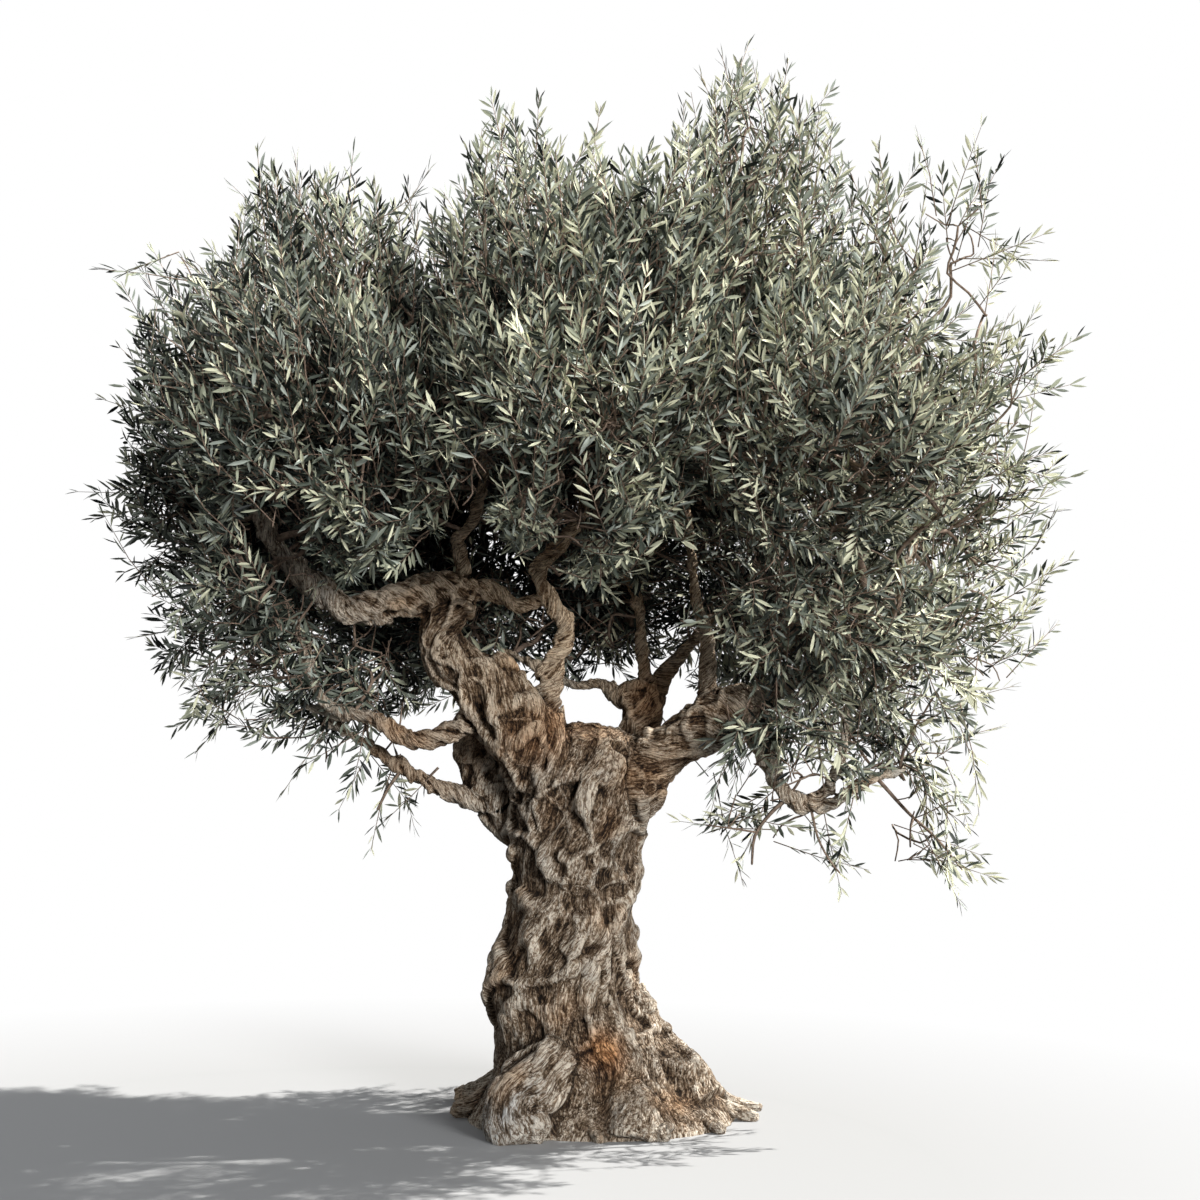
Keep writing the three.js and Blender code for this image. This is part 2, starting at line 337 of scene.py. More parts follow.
ROPE_SUNK = 0.28  # share of its radius that a rope's middle lies below the skin
ROPE_END = 0.25  # share of its radius that is left at its ends
ROPE_LENGTH = (0.45, 1.15)
ROPE_WAVE = (0.30, 0.65)  # length of one swing to and fro
ROPE_STEP = 0.016  # spacing of the places along it
ROPE_SWING = 0.95  # how far a rope swings from the limb's way, in radians
ROPE_DRIFT = 0.55  # how far its middle way leans from the limb's
GRAIN_SWIRL = 0.035  # how far the fibres swirl from the limb's way
GRAIN_WAVER = 0.010  # and how far they waver besides
BEND_SCALE = 9.0  # steps of noise in a metre: the bends, wide bends and swells of the bark
WIDE_SCALE = 4.2
LUMP_SCALE = 5.0
FIBRE_SCALE = (95.0, 95.0, 22.0)  # the fibres and the strings on thin boughs, across and along the limb
STRING_SCALE = (40.0, 40.0, 8.0)
LUMP_RISE = 0.0070  # how high the swells, fine ridges, fibres and strings stand
FINE_RISE = 0.0034
FIBRE_RISE = 0.0016
STRING_RISE = 0.0055
FLATTENINGS = 64  # rounds of smoothing that give the skin from which ropes and clefts are told
NET_CELL = np.array([0.190, 0.190, 0.250])  # size of the hollows between the ridges of the net
NET_WIDTH = 0.21  # half width of a ridge, as a share of a hollow
NET_RISE = 0.034  # how high a ridge stands over a hollow
NET_FOOT = (0.10, 0.50)  # below these heights the net fades to a quarter
FINE_CELL = np.array([0.62, 0.62, 1.5])  # proportions of the small cells that the fine ridges go round
FINE_SIZE = 0.024  # their size on the thinnest limbs
FINE_GROWTH = 0.030  # and how much larger they are on a thick one
FULL_RELIEF = 0.20  # radius of a limb that has the full relief
LEAST_RELIEF = 0.22  # share of it that the thinnest limbs keep
PROUD_FULL = 0.0105  # height over the flat skin that tells a rope on a thick limb
PROUD_LEAST = 0.0010  # and this much more on every limb
THINNEST_ROPED = 0.030  # limbs thinner than this carry no ropes
WALK_VOXEL = 0.012  # voxel size of the coarse skin that the ropes are led over
VOXEL = 0.0060  # and of the skin that is carved
SMOOTHINGS = 3
SPLITS = (0.50, 1.13)  # heights where the wooden skin is parted into pieces
MIDDLE_SPLIT = -0.03  # x where its upper part is parted into left and right
BARK_COLOURS_AND_CLEFT_SHADE = [  # from the clefts, darkened partly by painted shade, to the ropes
    (0.00, (0.022, 0.013, 0.007)),
    (0.14, (0.065, 0.039, 0.021)),
    (0.31, (0.160, 0.104, 0.060)),
    (0.47, (0.295, 0.210, 0.138)),
    (0.62, (0.480, 0.378, 0.276)),
    (0.86, (0.820, 0.715, 0.580)),
]
BRANCH_COLOURS = [(0.3, (0.10, 0.066, 0.046)), (0.7, (0.30, 0.215, 0.155))]
TWIG_COLOURS = [(0.3, (0.13, 0.084, 0.058)), (0.7, (0.32, 0.225, 0.160))]

CREASE_STAIN = (0.22, 0.16, 0.11)  # what creases and rusty and grey patches multiply the colour by
RUST_STAIN = (1.0, 0.76, 0.54)
GREY_STAIN = (0.86, 0.92, 1.0)
CLEFT_LEVEL = 0.13  # where the deepest clefts, darkened partly by painted shade, and the highest ropes lie in the bark's ramp of colours
ROPE_LEVEL = 0.82
BARK_STRETCH = 0.18  # the bark's noises are drawn out along the limb by one over this
BARK_BUMP = 0.022  # height of the bump's fibres and grit

# Stains on the wood, the last of them partly painted shade on the stump's cut: their place, reach and colour.
STAINS_AND_STUMP_SHADE = [
    ((0.00, 0.00, 2.10), 1.00, (1.0, 0.86, 0.70)),
    ((-0.66, -0.02, 1.36), 0.34, (0.72, 0.60, 0.50)),
    ((0.05, -0.28, 0.30), 0.12, (1.0, 0.60, 0.32)),
    ((-0.33, -0.36, 0.12), 0.24, (0.80, 0.88, 1.0)),
    ((-0.20, -0.15, 1.42), 0.16, (1.0, 0.74, 0.54)),
    ((0.24, 0.15, 1.55), 0.18, (0.72, 0.55, 0.42)),
    ((0.17, -0.25, 1.28), 0.15, (0.80, 0.70, 0.60)),
    # on the stump's cut: a brown that is partly painted shade
    ((0.00, -0.06, 1.46), 0.15, (0.58, 0.45, 0.34)),
]

# ------------------------------------------------------------------ driving dimensions: crown

CROWN_MIDDLE = np.array([0.0, 0.0, 2.2])
BURIED_CELL = 0.14  # shoots are counted in cubes of this side
BURIED_STEPS = (0.10, 0.20, 0.30, 0.42)  # so far out from a shoot
BURIED_FULL = 3.5  # shoots in a cell outside a shoot that hide it wholly
SHOOTS_PER_CUBIC_METRE = 1250
SHELL_SHARE = 0.6  # this share of the shoots ends near the outside of its mass
SHELL_SPAN = (0.86, 1.04)  # at these shares of the way from its middle to its surface
PROUD_SHARE = 0.12  # but this share of those stands further out
PROUD_REACH = 1.13
INNER_SPAN = (0.02, 0.95)  # the other shoots end between these shares, crowded outwards by the power
INNER_POWER = 0.45
MASS_PULL = 0.55  # how much a shoot points out of its mass, and the rest out of the crown
WAY_SCATTER = 0.65  # how far the ways of the shoots stray
SHOOT_LENGTH = (0.17, 0.36)
SHOOT_LIFT = ((1.0, 1.6, 2.4, 3.6), (-0.5, -0.15, 0.25, 0.7))  # heights, and how far shoots there point up
SHOOT_BEND = ((1.0, 1.5, 2.0, 3.0), (-0.22, 0.05, 0.22, 0.20))  # and how far they bend up, for each metre
BEND_SCATTER = 0.13  # and their bends
BOX_MARGIN = 0.03  # tips may stand this far out of the CAD model's box
SIDE_SETBACK = 0.10  # a lone shoot's side shoot ends this far back
SIDE_TURN = (18, 34)  # and leans aside by so many degrees
SIDE_LENGTH = 0.24
LONE_LENGTH = 0.36
LEAF_LENGTH = 0.073
LEAF_WIDTH = 0.0120
LEAF_PAIRS = 9
LEAFLESS = 0.14  # share of a shoot that is bare at its foot
LEAF_LEAN = ((0.1, 0.7, 1.0), (0.92, 0.72, 0.34))  # shares along a shoot, and how far leaves there stand off
LEAF_SIZES = ((0.0, 0.35, 0.8, 1.0), (0.75, 1.0, 0.95, 0.70))  # and their size
LEAVES_LOST = 0.05  # share of the leaves that are missing
PLACE_SCATTER = 0.035  # how far leaves stray: in place along the shoot,
PLANE_SCATTER = 0.45  # in the plane of the pairs,
LEAN_SCATTER = 0.13  # in how far they stand off,
FACE_SCATTER = 0.35  # in the way that they face
SIZE_SCATTER = 0.13  # and in size

# A leaf's corners: share along it, offset across as a share of its width, rise above the midrib.
LEAF_OUTLINE = [
    (0.02, 0.0, 0.0),
    (0.34, 0.43, 0.13),
    (0.66, 0.46, 0.13),
    (1.0, 0.0, 0.0),
    (0.66, -0.46, 0.13),
    (0.34, -0.43, 0.13),
]
LEAF_FACES = np.array([(0, 1, 2), (0, 2, 3), (0, 3, 4), (0, 4, 5)])

TWIG_RADIUS = 0.0027
TWIG_SHARES = np.array([0.0, 0.5, 1.0])  # places of a stem's rings along the shoot, and its taper there
TWIG_TAPER = np.array([1.0, 0.75, 0.35])
TWIG_SIDES = 3
BRANCH_SIDES = 4
BRANCH_STEP = 0.065  # spacing of the rings along a branch
BOW_FROM = 0.10  # a branch bows where its buds are further apart than this
BOW_SHARE = 0.10  # by this share of their distance
BRANCH_EXPONENT = 2.35  # a branch's radius to this power is the sum of those of what it carries
BRANCH_SCATTER = 0.012  # how far a branch passes beside its buds
THRIFT = 0.35  # how much a bud minds the way back from where it joins
HANGING_STEP = 0.03  # spacing of the rings along a hanging twig
BUDLESS = ("left_leg", "left_column", "back_knob")  # limbs that no branch springs from

# How full each mass of foliage is: 1 is a dense crown, less lets the sky through.
FULLNESS = {
    "core": 0.5,
    "crown_top": 0.72,
    "centre_top": 1.02,
    "left_dome": 1.15,
    "right_shoulder": 0.34,
    "right_upper": 0.44,
    "left_skirt": 0.70,
    "left_low": 0.60,
    "left_tips": 0.8,
    "right_far": 0.46,
    "right_low": 0.33,
    "right_skirt": 0.38,
    "front_right": 0.66,
    "back_right": 0.54,
    "front_right_low": 0.55,
    "right_tips": 0.9,
    "inner_tips": 0.25,
    "back_low_left": 1.1,
    "back_low_centre": 1.7,
    "back_low_right": 0.75,
}

# The crown's outline as seen from the front, x and z, clockwise from the low left.
CROWN_OUTLINE = [
    (-1.06, 1.20), (-1.14, 1.36), (-1.50, 1.36), (-1.53, 1.48), (-1.62, 1.58), (-1.69, 1.80), (-1.71, 1.98),
    (-1.80, 2.16), (-1.91, 2.30), (-1.80, 2.42), (-1.76, 2.56), (-1.82, 2.70), (-1.73, 2.84), (-1.72, 3.02),
    (-1.83, 3.15), (-1.62, 3.20), (-1.42, 3.28), (-1.34, 3.46), (-1.25, 3.60), (-1.05, 3.57), (-0.86, 3.58),
    (-0.74, 3.42), (-0.62, 3.46), (-0.48, 3.52), (-0.38, 3.78), (-0.19, 3.80), (-0.09, 3.64), (0.03, 3.74),
    (0.16, 3.62), (0.27, 3.66), (0.36, 3.84), (0.48, 3.95), (0.62, 4.00), (0.76, 3.94), (0.90, 3.82),
    (0.96, 3.64), (1.08, 3.60), (1.22, 3.63), (1.46, 3.67), (1.52, 3.54), (1.49, 3.34), (1.60, 3.26),
    (1.46, 3.12), (1.62, 2.98), (1.82, 2.89), (1.76, 2.70), (1.71, 2.56), (1.83, 2.38), (1.73, 2.22),
    (1.76, 2.05), (1.70, 1.90), (1.72, 1.80), (1.58, 1.64), (1.52, 1.46), (1.47, 1.30), (1.46, 0.98),
    (1.40, 0.78), (1.30, 0.92), (1.06, 0.92), (0.94, 0.82), (0.84, 0.98), (0.60, 0.85), (0.32, 1.08),
    (0.48, 1.22), (0.30, 1.34), (0.00, 1.36), (-0.40, 1.36), (-0.62, 1.08), (-0.82, 0.99), (-0.92, 1.20),
]
EDGE_DEPTH = 0.40  # the crown thins out over this distance from its outline
EDGE_SHARE = 0.40  # share of the shoots that are kept right at the outline
SKY_GAPS = [(0.00, 1.53, 0.08), (0.40, 1.28, 0.16), (-0.62, 1.30, 0.05)]  # x, z and reach from the front

# Lone shoots that stand out of the outline: x and z of the tip, and its bearing in degrees from +X to +Z.
LONE_TIPS = [
    (0.59, 3.99, 85), (0.49, 3.95, 100), (0.41, 3.88, 118), (0.74, 3.94, 72), (0.91, 3.83, 58),
    (0.85, 3.72, 66), (-0.19, 3.81, 85), (-0.37, 3.79, 100), (0.04, 3.76, 80), (-0.47, 3.62, 118),
    (-0.60, 3.52, 62), (-0.80, 3.48, 96), (-0.73, 3.40, 84), (-0.68, 3.46, 104), (-0.75, 3.30, 110),
    (-0.64, 3.36, 88), (-0.70, 3.24, 92), (-1.24, 3.61, 98), (-1.10, 3.58, 84), (-0.88, 3.60, 74),
    (-1.33, 3.46, 122), (-1.62, 3.21, 128), (-1.84, 3.15, 168), (-1.75, 2.86, 140), (-1.83, 2.67, 158),
    (-1.91, 2.32, 168), (-1.84, 2.22, 190), (-1.73, 2.02, 196), (-1.68, 1.78, 202), (-1.53, 1.45, 205),
    (-1.46, 1.35, 222), (-1.14, 1.20, 240), (1.46, 3.69, 74), (1.22, 3.65, 96), (1.07, 3.62, 100),
    (1.54, 3.57, 58), (1.69, 3.28, 22), (1.71, 3.18, 2), (1.66, 3.00, 56), (1.82, 2.90, 34),
    (1.79, 2.72, 8), (1.83, 2.39, 16), (1.75, 2.25, 12), (1.78, 2.07, 32), (1.73, 1.83, 46),
    (1.57, 1.60, 20), (1.52, 1.45, 8), (1.46, 0.97, -18), (1.37, 0.79, -62), (1.50, 0.89, -30),
    (1.03, 0.92, -22), (0.93, 0.83, -80), (0.57, 0.86, -82), (0.33, 1.10, 182), (0.45, 1.06, 200),
    (-0.81, 0.99, 250), (-0.65, 1.08, 285), (-0.93, 1.14, 240),
]
LONE_DEPTH = 0.30  # how far the lone shoots are spread towards the front and back

# The same for shoots that hang in front of the right bough, at the depth of FRONT_DEPTH.
FRONT_TIPS = [
    (0.43, 1.29, 215), (0.45, 1.21, 238), (0.52, 1.20, 262), (0.41, 1.39, 190), (0.47, 1.47, 165),
    (0.56, 1.30, 228), (0.60, 1.42, 205), (0.66, 1.24, 250), (0.72, 1.36, 290), (0.66, 1.55, 120),
    (0.76, 1.50, 60), (0.82, 1.40, 320), (0.90, 1.52, 35), (0.86, 1.28, 285), (0.97, 1.36, 330),
    (0.80, 1.62, 95), (1.02, 1.20, 290), (1.10, 1.30, 10),
]
FRONT_DEPTH = -0.32

# Limbs that stand bare to the front, with the shares of their length between which they show.
BARE_LIMBS = {
    "left_column": (0.0, 1.0),
    "left_arm": (0.0, 0.80),
    "middle_stem": (0.0, 0.90),
    "arm_bridge": (0.0, 1.0),
    "arm_spur": (0.0, 0.65),
    "low_left_bough": (0.0, 0.8),
    "under_bough": (0.0, 0.7),
    "right_bough": (0.0, 0.9),
    "back_knob": (0.0, 1.0),
    "right_droop": (0.4, 0.72),
}
BARE_MARGIN = 0.045
BARE_STEP = 0.06  # spacing of the places along a bare limb
BARE_PLACES = (0.3, 0.65, 1.0)  # shares along a shoot that are held against them
BARE_STRAYS = 0.04  # this share of the shoots grows in front of them all the same

# The pieces that the leaves are joined into, and the masses that each stands for.
REGIONS = {
    "leaves_left": ["left_corner", "left_far", "left_low", "left_skirt", "left_tips", "front_left_low"],
    "leaves_top": ["crown_top", "centre_top", "left_dome", "right_shoulder", "front_high"],
    "leaves_right": [
        "right_upper", "right_far", "right_low", "right_skirt", "right_tips", "inner_tips", "front_right_low",
    ],
    "leaves_front": ["front_left", "front_centre", "front_right", "core"],
    "leaves_back": ["back_left", "back_centre", "back_right"],
    "leaves_back_low": ["back_low_left", "back_low_centre", "back_low_right"],
}

# Leaf colours from black, painted shade for the inside of the crown, to cream, painted sunlight, then the
# silvery underside.
LEAF_TINTS_PAINTED_SHADE_TO_SUN = [
    (0.006, 0.008, 0.006),
    (0.028, 0.034, 0.025),
    (0.078, 0.092, 0.070),
    (0.170, 0.186, 0.142),
    (0.360, 0.375, 0.268),
    (0.700, 0.690, 0.495),
    (0.370, 0.402, 0.342),
]
# the brightest tint, cream as painted sunlight
PAINTED_SUN_CREAM = 5
SILVER = 6
PAINTED_SHADE_SHARE = 0.26  # share of the leaves that are so many tints darker than their shoot, as painted shade
PAINTED_SHADE_DROP = 2.7
SILVER_SHARE = 0.22  # share of the leaves that show their underside
TINT_IN_THE_OPEN = 3.76  # a shoot's tint, as a place in LEAF_TINTS_PAINTED_SHADE_TO_SUN
TINT_UPWARDS = -0.10  # its change from the crown's middle to the top
TINT_PAINTED_SUNLIGHT = 0.85  # to the sunny right edge, as painted sunlight
TINT_PAINTED_FRONT_LIGHT = 0.45  # to the middle of the front, as painted light, as broad as FRONT_BREADTH and nearer than FRONT_FROM
TINT_PAINTED_BURIED_SHADE = -3.1  # to where a shoot is wholly hidden, as painted shade
TINT_OUTWARDS = 1.1  # and from a shoot's foot to its tip
FRONT_BREADTH = 0.55
FRONT_FROM = -0.3
SHOOT_SCATTER = 0.60  # how far the tints of shoots and of leaves stray
LEAF_SCATTER = 0.95

# ------------------------------------------------------------------ driving dimensions: light and camera

SUN_WAY = (-0.80, -0.26, -0.85)  # the sun shines from the right, a little from behind
SUN_ENERGY = 7.0
SUN_WIDTH = 0.6  # degrees
SUN_COLOUR = (1.0, 0.985, 0.95)
SKY_STRENGTH = 0.36  # of the upper half of the surroundings
GROUND_STRENGTH = 0.08  # and of the lower half
FILL_WAY = (-0.48, 0.82, -0.20)  # a broad lamp from the front right
FILL_ENERGY = 3.3
FILL_WIDTH = 18.0
FILL_COLOUR = (0.97, 0.985, 1.0)
SKY_COLOUR = (0.93, 0.96, 1.0, 1.0)
HORIZON = 0.15  # the surroundings change from lower to upper over this height of the way, up and down
WHITE = (1.0, 1.0, 1.0, 1.0)
FLOOR_HALF = 60.0
FLOOR_GREY = 0.42
FLOOR_MIDDLE = (-0.8, -0.9, 0.0)
FLOOR_FADE = (2.0, 4.0)  # the floor brightens into the white background between these distances, by a painted glow
CAMERA_PLACE = (0.037, -8.5, 1.70)
CAMERA_TILT = 1.47  # degrees upwards
CAMERA_LENS = 68.85
CAMERA_SENSOR = 36.0


# ------------------------------------------------------------------ numbers and noise

SHUFFLE = np.random.default_rng(7).permutation(256)
CORNERS = np.array([(i, j, k) for i in (0, 1) for j in (0, 1) for k in (0, 1)])
AROUND = np.array([(i, j, k) for i in (-1, 0, 1) for j in (-1, 0, 1) for k in (-1, 0, 1)])


def unit(v):
    """Each vector divided by its length."""
    return v / np.maximum(np.linalg.norm(v, axis=-1, keepdims=True), 1e-9)


def dot(a, b):
    """Dot products along the last axis, kept as an axis of one."""
    return np.sum(a * b, axis=-1, keepdims=True)


def random_units(rng, count):
    """Directions spread evenly over the sphere."""
    return unit(rng.normal(size=(count, 3)))


LATTICE_WAYS = random_units(np.random.default_rng(11), 256)
LATTICE_SPOTS = np.random.default_rng(13).uniform(0.1, 0.9, (256, 3))


def lattice_hash(cell):
    """A number from 0 to 255 for each whole-numbered lattice cell."""
    first = SHUFFLE[cell[:, 0] & 255]
    second = SHUFFLE[(first + cell[:, 1]) & 255]
    return SHUFFLE[(second + cell[:, 2]) & 255]


def noise(points, shift=0.0):
    """Gradient noise from about -1 to 1: at each of the eight corners of the unit cell round a point, the
    dot product of the corner's random direction with the way from it, blended by 6t^5 - 15t^4 + 10t^3."""
    points = points + shift
    cell = np.floor(points).astype(int)
    inside = points - cell
    fade = inside ** 3 * (inside * (inside * 6 - 15) + 10)
    total = np.zeros(len(points))
    for corner in CORNERS:
        way = LATTICE_WAYS[lattice_hash(cell + corner)]
        share = np.prod(np.where(corner == 1, fade, 1 - fade), axis=1)
        total += share * np.sum(way * (inside - corner), axis=1)
    return 1.6 * total


def cell_edges(points):
    """How far each point is from the border between cells: every unit cell holds one seed point, and the
    value is the distance to the second nearest seed less the distance to the nearest."""
    cell = np.floor(points).astype(int)
    nearest = np.full(len(points), 9.0)
    second = np.full(len(points), 9.0)
    for step in AROUND:
        seed = cell + step + LATTICE_SPOTS[lattice_hash(cell + step)]
        far = np.linalg.norm(seed - points, axis=1)
        second = np.minimum(second, np.maximum(nearest, far))
        nearest = np.minimum(nearest, far)
    return second - nearest


def smooth_path(points, spacing):
    """Points with their radii along the Catmull-Rom curve through the given ones, about `spacing` apart."""
    points = np.asarray(points, float)
    padded = np.vstack([2 * points[0] - points[1], points, 2 * points[-1] - points[-2]])
    samples = []
    for row in range(len(points) - 1):
        a, b, c, d = padded[row:row + 4]
        count = max(2, round(np.linalg.norm((c - b)[:3]) / spacing))
        t = np.arange(count)[:, None] / count
        curve = 2 * b + (c - a) * t + (2 * a - 5 * b + 4 * c - d) * t ** 2 + (3 * b - a - 3 * c + d) * t ** 3
        samples.append(curve / 2)
    return np.vstack(samples + [points[-1:]])


# ------------------------------------------------------------------ meshes

def make_piece(name, vertices, faces, materials, smooth=True, face_materials=None):
    """A mesh object from arrays: vertices (n, 3) and faces, a list of arrays with 3 or 4 corners a row.
    `smooth` is one value, or one for each array of faces."""
    mesh = bpy.data.meshes.new(name)
    corners = np.concatenate([block.ravel() for block in faces])
    sizes = np.concatenate([np.full(len(block), block.shape[1]) for block in faces])
    starts = np.concatenate([[0], np.cumsum(sizes)[:-1]])
    softness = np.broadcast_to(smooth, len(faces))
    mesh.vertices.add(len(vertices))
    mesh.vertices.foreach_set("co", np.asarray(vertices, np.float32).ravel())
    mesh.loops.add(len(corners))
    mesh.loops.foreach_set("vertex_index", corners.astype(np.int32))
    mesh.polygons.add(len(sizes))
    mesh.polygons.foreach_set("loop_start", starts.astype(np.int32))
    for material in materials:
        mesh.materials.append(material)
    if face_materials is not None:
        mesh.polygons.foreach_set("material_index", face_materials.astype(np.int32))
    softened = np.concatenate([np.full(len(block), soft) for block, soft in zip(faces, softness)])
    mesh.polygons.foreach_set("use_smooth", softened)
    mesh.update(calc_edges=True)
    mesh.validate()
    piece = bpy.data.objects.new(name, mesh)
    bpy.context.scene.collection.objects.link(piece)
    return piece


def many_tubes(centres, radii, chain, sides, leans=None):
    """One closed tube along every chain of centres, all at once: a ring of `sides` corners round each
    centre and a pole at both ends. `chain` numbers the chain that each centre belongs to, in order. `leans`
    are ways across the tube that its rings start from. Without them the rings of a chain share one way."""
    first = np.concatenate([[True], chain[1:] != chain[:-1]])
    last = np.concatenate([chain[1:] != chain[:-1], [True]])
    before = np.where(first[:, None], centres, np.roll(centres, 1, axis=0))
    after = np.where(last[:, None], centres, np.roll(centres, -1, axis=0))
    tangents = unit(after - before)
    if leans is None:
        order = np.cumsum(first) - 1
        chord = unit(centres[last] - centres[first] + 1e-6)
        leans = np.cross(chord, (0.43, 0.61, 0.67))[order]
    side = unit(leans - tangents * dot(leans, tangents))
    other = np.cross(tangents, side)
    angle = (np.arange(sides) * 2 * math.pi / sides)[None, :, None]
    circle = np.cos(angle) * side[:, None] + np.sin(angle) * other[:, None]
    rings = (centres[:, None] + circle * radii[:, None, None]).reshape(-1, 3)
    around = np.arange(sides)
    onward = (around + 1) % sides
    base = np.flatnonzero(~last)[:, None] * sides
    walls = np.stack([base + around, base + onward, base + sides + onward, base + sides + around], axis=-1)
    poles = np.vstack([
        centres[first] - tangents[first] * radii[first, None] * 0.5,
        centres[last] + tangents[last] * radii[last, None],
    ])
    foot = np.flatnonzero(first)[:, None] * sides
    head = np.flatnonzero(last)[:, None] * sides
    foot_pole = (len(rings) + np.arange(len(foot)))[:, None] + 0 * around
    head_pole = foot_pole + len(foot)
    foot_caps = np.stack([foot + onward, foot + around, foot_pole], axis=-1)
    head_caps = np.stack([head + around, head + onward, head_pole], axis=-1)
    caps = np.vstack([foot_caps.reshape(-1, 3), head_caps.reshape(-1, 3)])
    return np.vstack([rings, poles]), walls.reshape(-1, 4), caps


def joined(blocks):
    """Several meshes of vertices, four-sided faces and three-sided faces made one."""
    starts = np.cumsum([0] + [len(vertices) for vertices, _, _ in blocks])
    vertices = np.vstack([block[0] for block in blocks])
    quads = np.vstack([block[1] + start for block, start in zip(blocks, starts)])
    triangles = np.vstack([block[2] + start for block, start in zip(blocks, starts)])
    return vertices, quads, triangles


# ------------------------------------------------------------------ wood: the limbs as tubes

# A limb's places, radii, ways along it, two ways across it and lengths from its foot, and its twist.
Limb = namedtuple("Limb", "points radii tangents sides crosses lengths twist")


def make_limb(path, slope):
    """A limb from rows of x, y, z and radius, with two side vectors carried along it without turning. Its
    strands turn by the slope divided by the radius, in radians a metre."""
    points = path[:, :3]
    tangents = unit(np.gradient(points, axis=0))
    side = unit(np.cross(tangents[0], (0.3, 1.0, 0.2)))
    sides = []
    for tangent in tangents:
        side = unit(side - tangent * np.dot(side, tangent))
        sides.append(side)
    sides = np.array(sides)
    steps = np.linalg.norm(np.diff(points, axis=0), axis=1)
    lengths = np.concatenate([[0], np.cumsum(steps)])
    twist = slope / max(np.median(path[:, 3]), 0.02)
    return Limb(points, path[:, 3], tangents, sides, np.cross(tangents, sides), lengths, twist)


def make_limbs():
    """The trunk, every buttress root and every bough. A root runs out and down by powers of the share of
    its length, or by a quarter turn where it is blunt, and sways sideways by a sine."""
    rows = np.array(TRUNK)
    trunk = np.column_stack([rows[:, 1], rows[:, 2], rows[:, 0], (rows[:, 3] + rows[:, 4]) / 2])
    limbs = {"trunk": make_limb(smooth_path(trunk, LIMB_STEP), TRUNK_SLOPE)}
    for number, (bearing, reach, height, top, toe, blunt) in enumerate(ROOTS):
        t = np.linspace(0, 1, 7)
        angle = math.radians(bearing)
        out = ROOT_START + (reach - ROOT_START) * (np.sin(math.pi / 2 * t) if blunt else t ** 1.25)
        sway = ROOT_SWAY * np.sin(2.5 * math.pi * t + number)
        x = out * math.cos(angle) - sway * math.sin(angle) - 0.03 * (1 - t)
        y = out * math.sin(angle) + sway * math.cos(angle) + 0.02
        z = height * np.cos(math.pi / 2 * t) if blunt else height * (1 - t) ** 1.55 + toe * 0.55 * t
        path = np.column_stack([x, y, z, top + (toe - top) * t])
        limbs[f"root_{number}"] = make_limb(smooth_path(path, LIMB_STEP), ROOT_SLOPE)
    for name, points in LIMBS.items():
        limbs[name] = make_limb(smooth_path(points, LIMB_STEP), BOUGH_SLOPE)
    return limbs


def one_tube(points, radii, sides, leans):
    """One closed tube along the points."""
    return many_tubes(points, radii, np.zeros(len(points), int), sides, leans)


def column_rings():
    """The trunk's core: a tube whose rings are made ellipses of the sizes in TRUNK, spread smoothly up its
    height, with closed ends."""
    rows = np.array(TRUNK)
    fine = smooth_path(rows[:, [1, 2, 0, 3, 4]], LIMB_STEP)
    angle = np.arange(TRUNK_SIDES) * 2 * math.pi / TRUNK_SIDES
    leans = np.tile([1.0, 0, 0], (len(fine), 1))
    vertices, walls, caps = one_tube(fine[:, :3], fine[:, 3], TRUNK_SIDES, leans)
    rings = np.stack([
        fine[:, 0, None] + CORE_SHARE * fine[:, 3, None] * np.cos(angle),
        fine[:, 1, None] + CORE_SHARE * fine[:, 4, None] * np.sin(angle),
        np.repeat(fine[:, 2, None], TRUNK_SIDES, axis=1),
    ], axis=-1)
    vertices[:rings.size // 3] = rings.reshape(-1, 3)
    vertices[-2:, :2] = fine[[0, -1], :2]
    vertices[-1, 2] = fine[-1, 2] + 0.015
    return vertices, walls, caps


def strand_tubes(rng, limb):
    """Strands wound round a limb. Each is a tube whose middle keeps a share of the radius from the limb's
    axis and turns about it with the length, swaying a little. Its width makes neighbours just merge."""
    size = np.median(limb.radii)
    count = next((number for least, number in STRANDS_FOR if size >= least), 0)
    blocks = []
    for number in range(count):
        width = STRAND_WIDTH * math.sin(math.pi / count) / (1 + math.sin(math.pi / count))
        start = 2 * math.pi * number / count + rng.normal(0, 0.25)
        sway = STRAND_SWAY * np.sin(limb.lengths / (1.6 * size) + 7 * start)
        turn = (start + limb.twist * limb.lengths + sway)[:, None]
        swell = 1 + STRAND_SWELL * np.sin(limb.lengths / (1.1 * size) + 5 * start)
        radii = limb.radii * width * swell * rng.uniform(0.85, 1.15)
        out = (limb.radii - radii)[:, None]
        centres = limb.points + out * (np.cos(turn) * limb.sides + np.sin(turn) * limb.crosses)
        blocks.append(one_tube(centres, radii, STRAND_SIDES, limb.sides))
    return blocks


def limb_blocks(rng, limbs):
    """Cores and strands of all the limbs. A limb too thin for strands is a plain tube."""
    blocks = [column_rings()]
    for name, limb in limbs.items():
        strands = strand_tubes(rng, limb)
        share = 1.0 if not strands else THICK_CORE if np.median(limb.radii) > THICK else THIN_CORE
        if name != "trunk":
            blocks.append(one_tube(limb.points, limb.radii * share, CORE_SIDES, limb.sides))
        blocks += strands
    return blocks


def remeshed(blocks, voxel, smoothings):
    """A temporary object of the closed tubes joined into one skin by a voxel remesh, then smoothed."""
    vertices, quads, triangles = joined(blocks)
    vertices[:, 2] = np.maximum(vertices[:, 2], 0.0)
    rough = make_piece("rough_wood", vertices, [quads, triangles], [])
    join = rough.modifiers.new("join", "REMESH")
    join.mode = "VOXEL"
    join.voxel_size = voxel
    soften = rough.modifiers.new("soften", "SMOOTH")
    soften.factor = 0.5
    soften.iterations = smoothings
    return rough


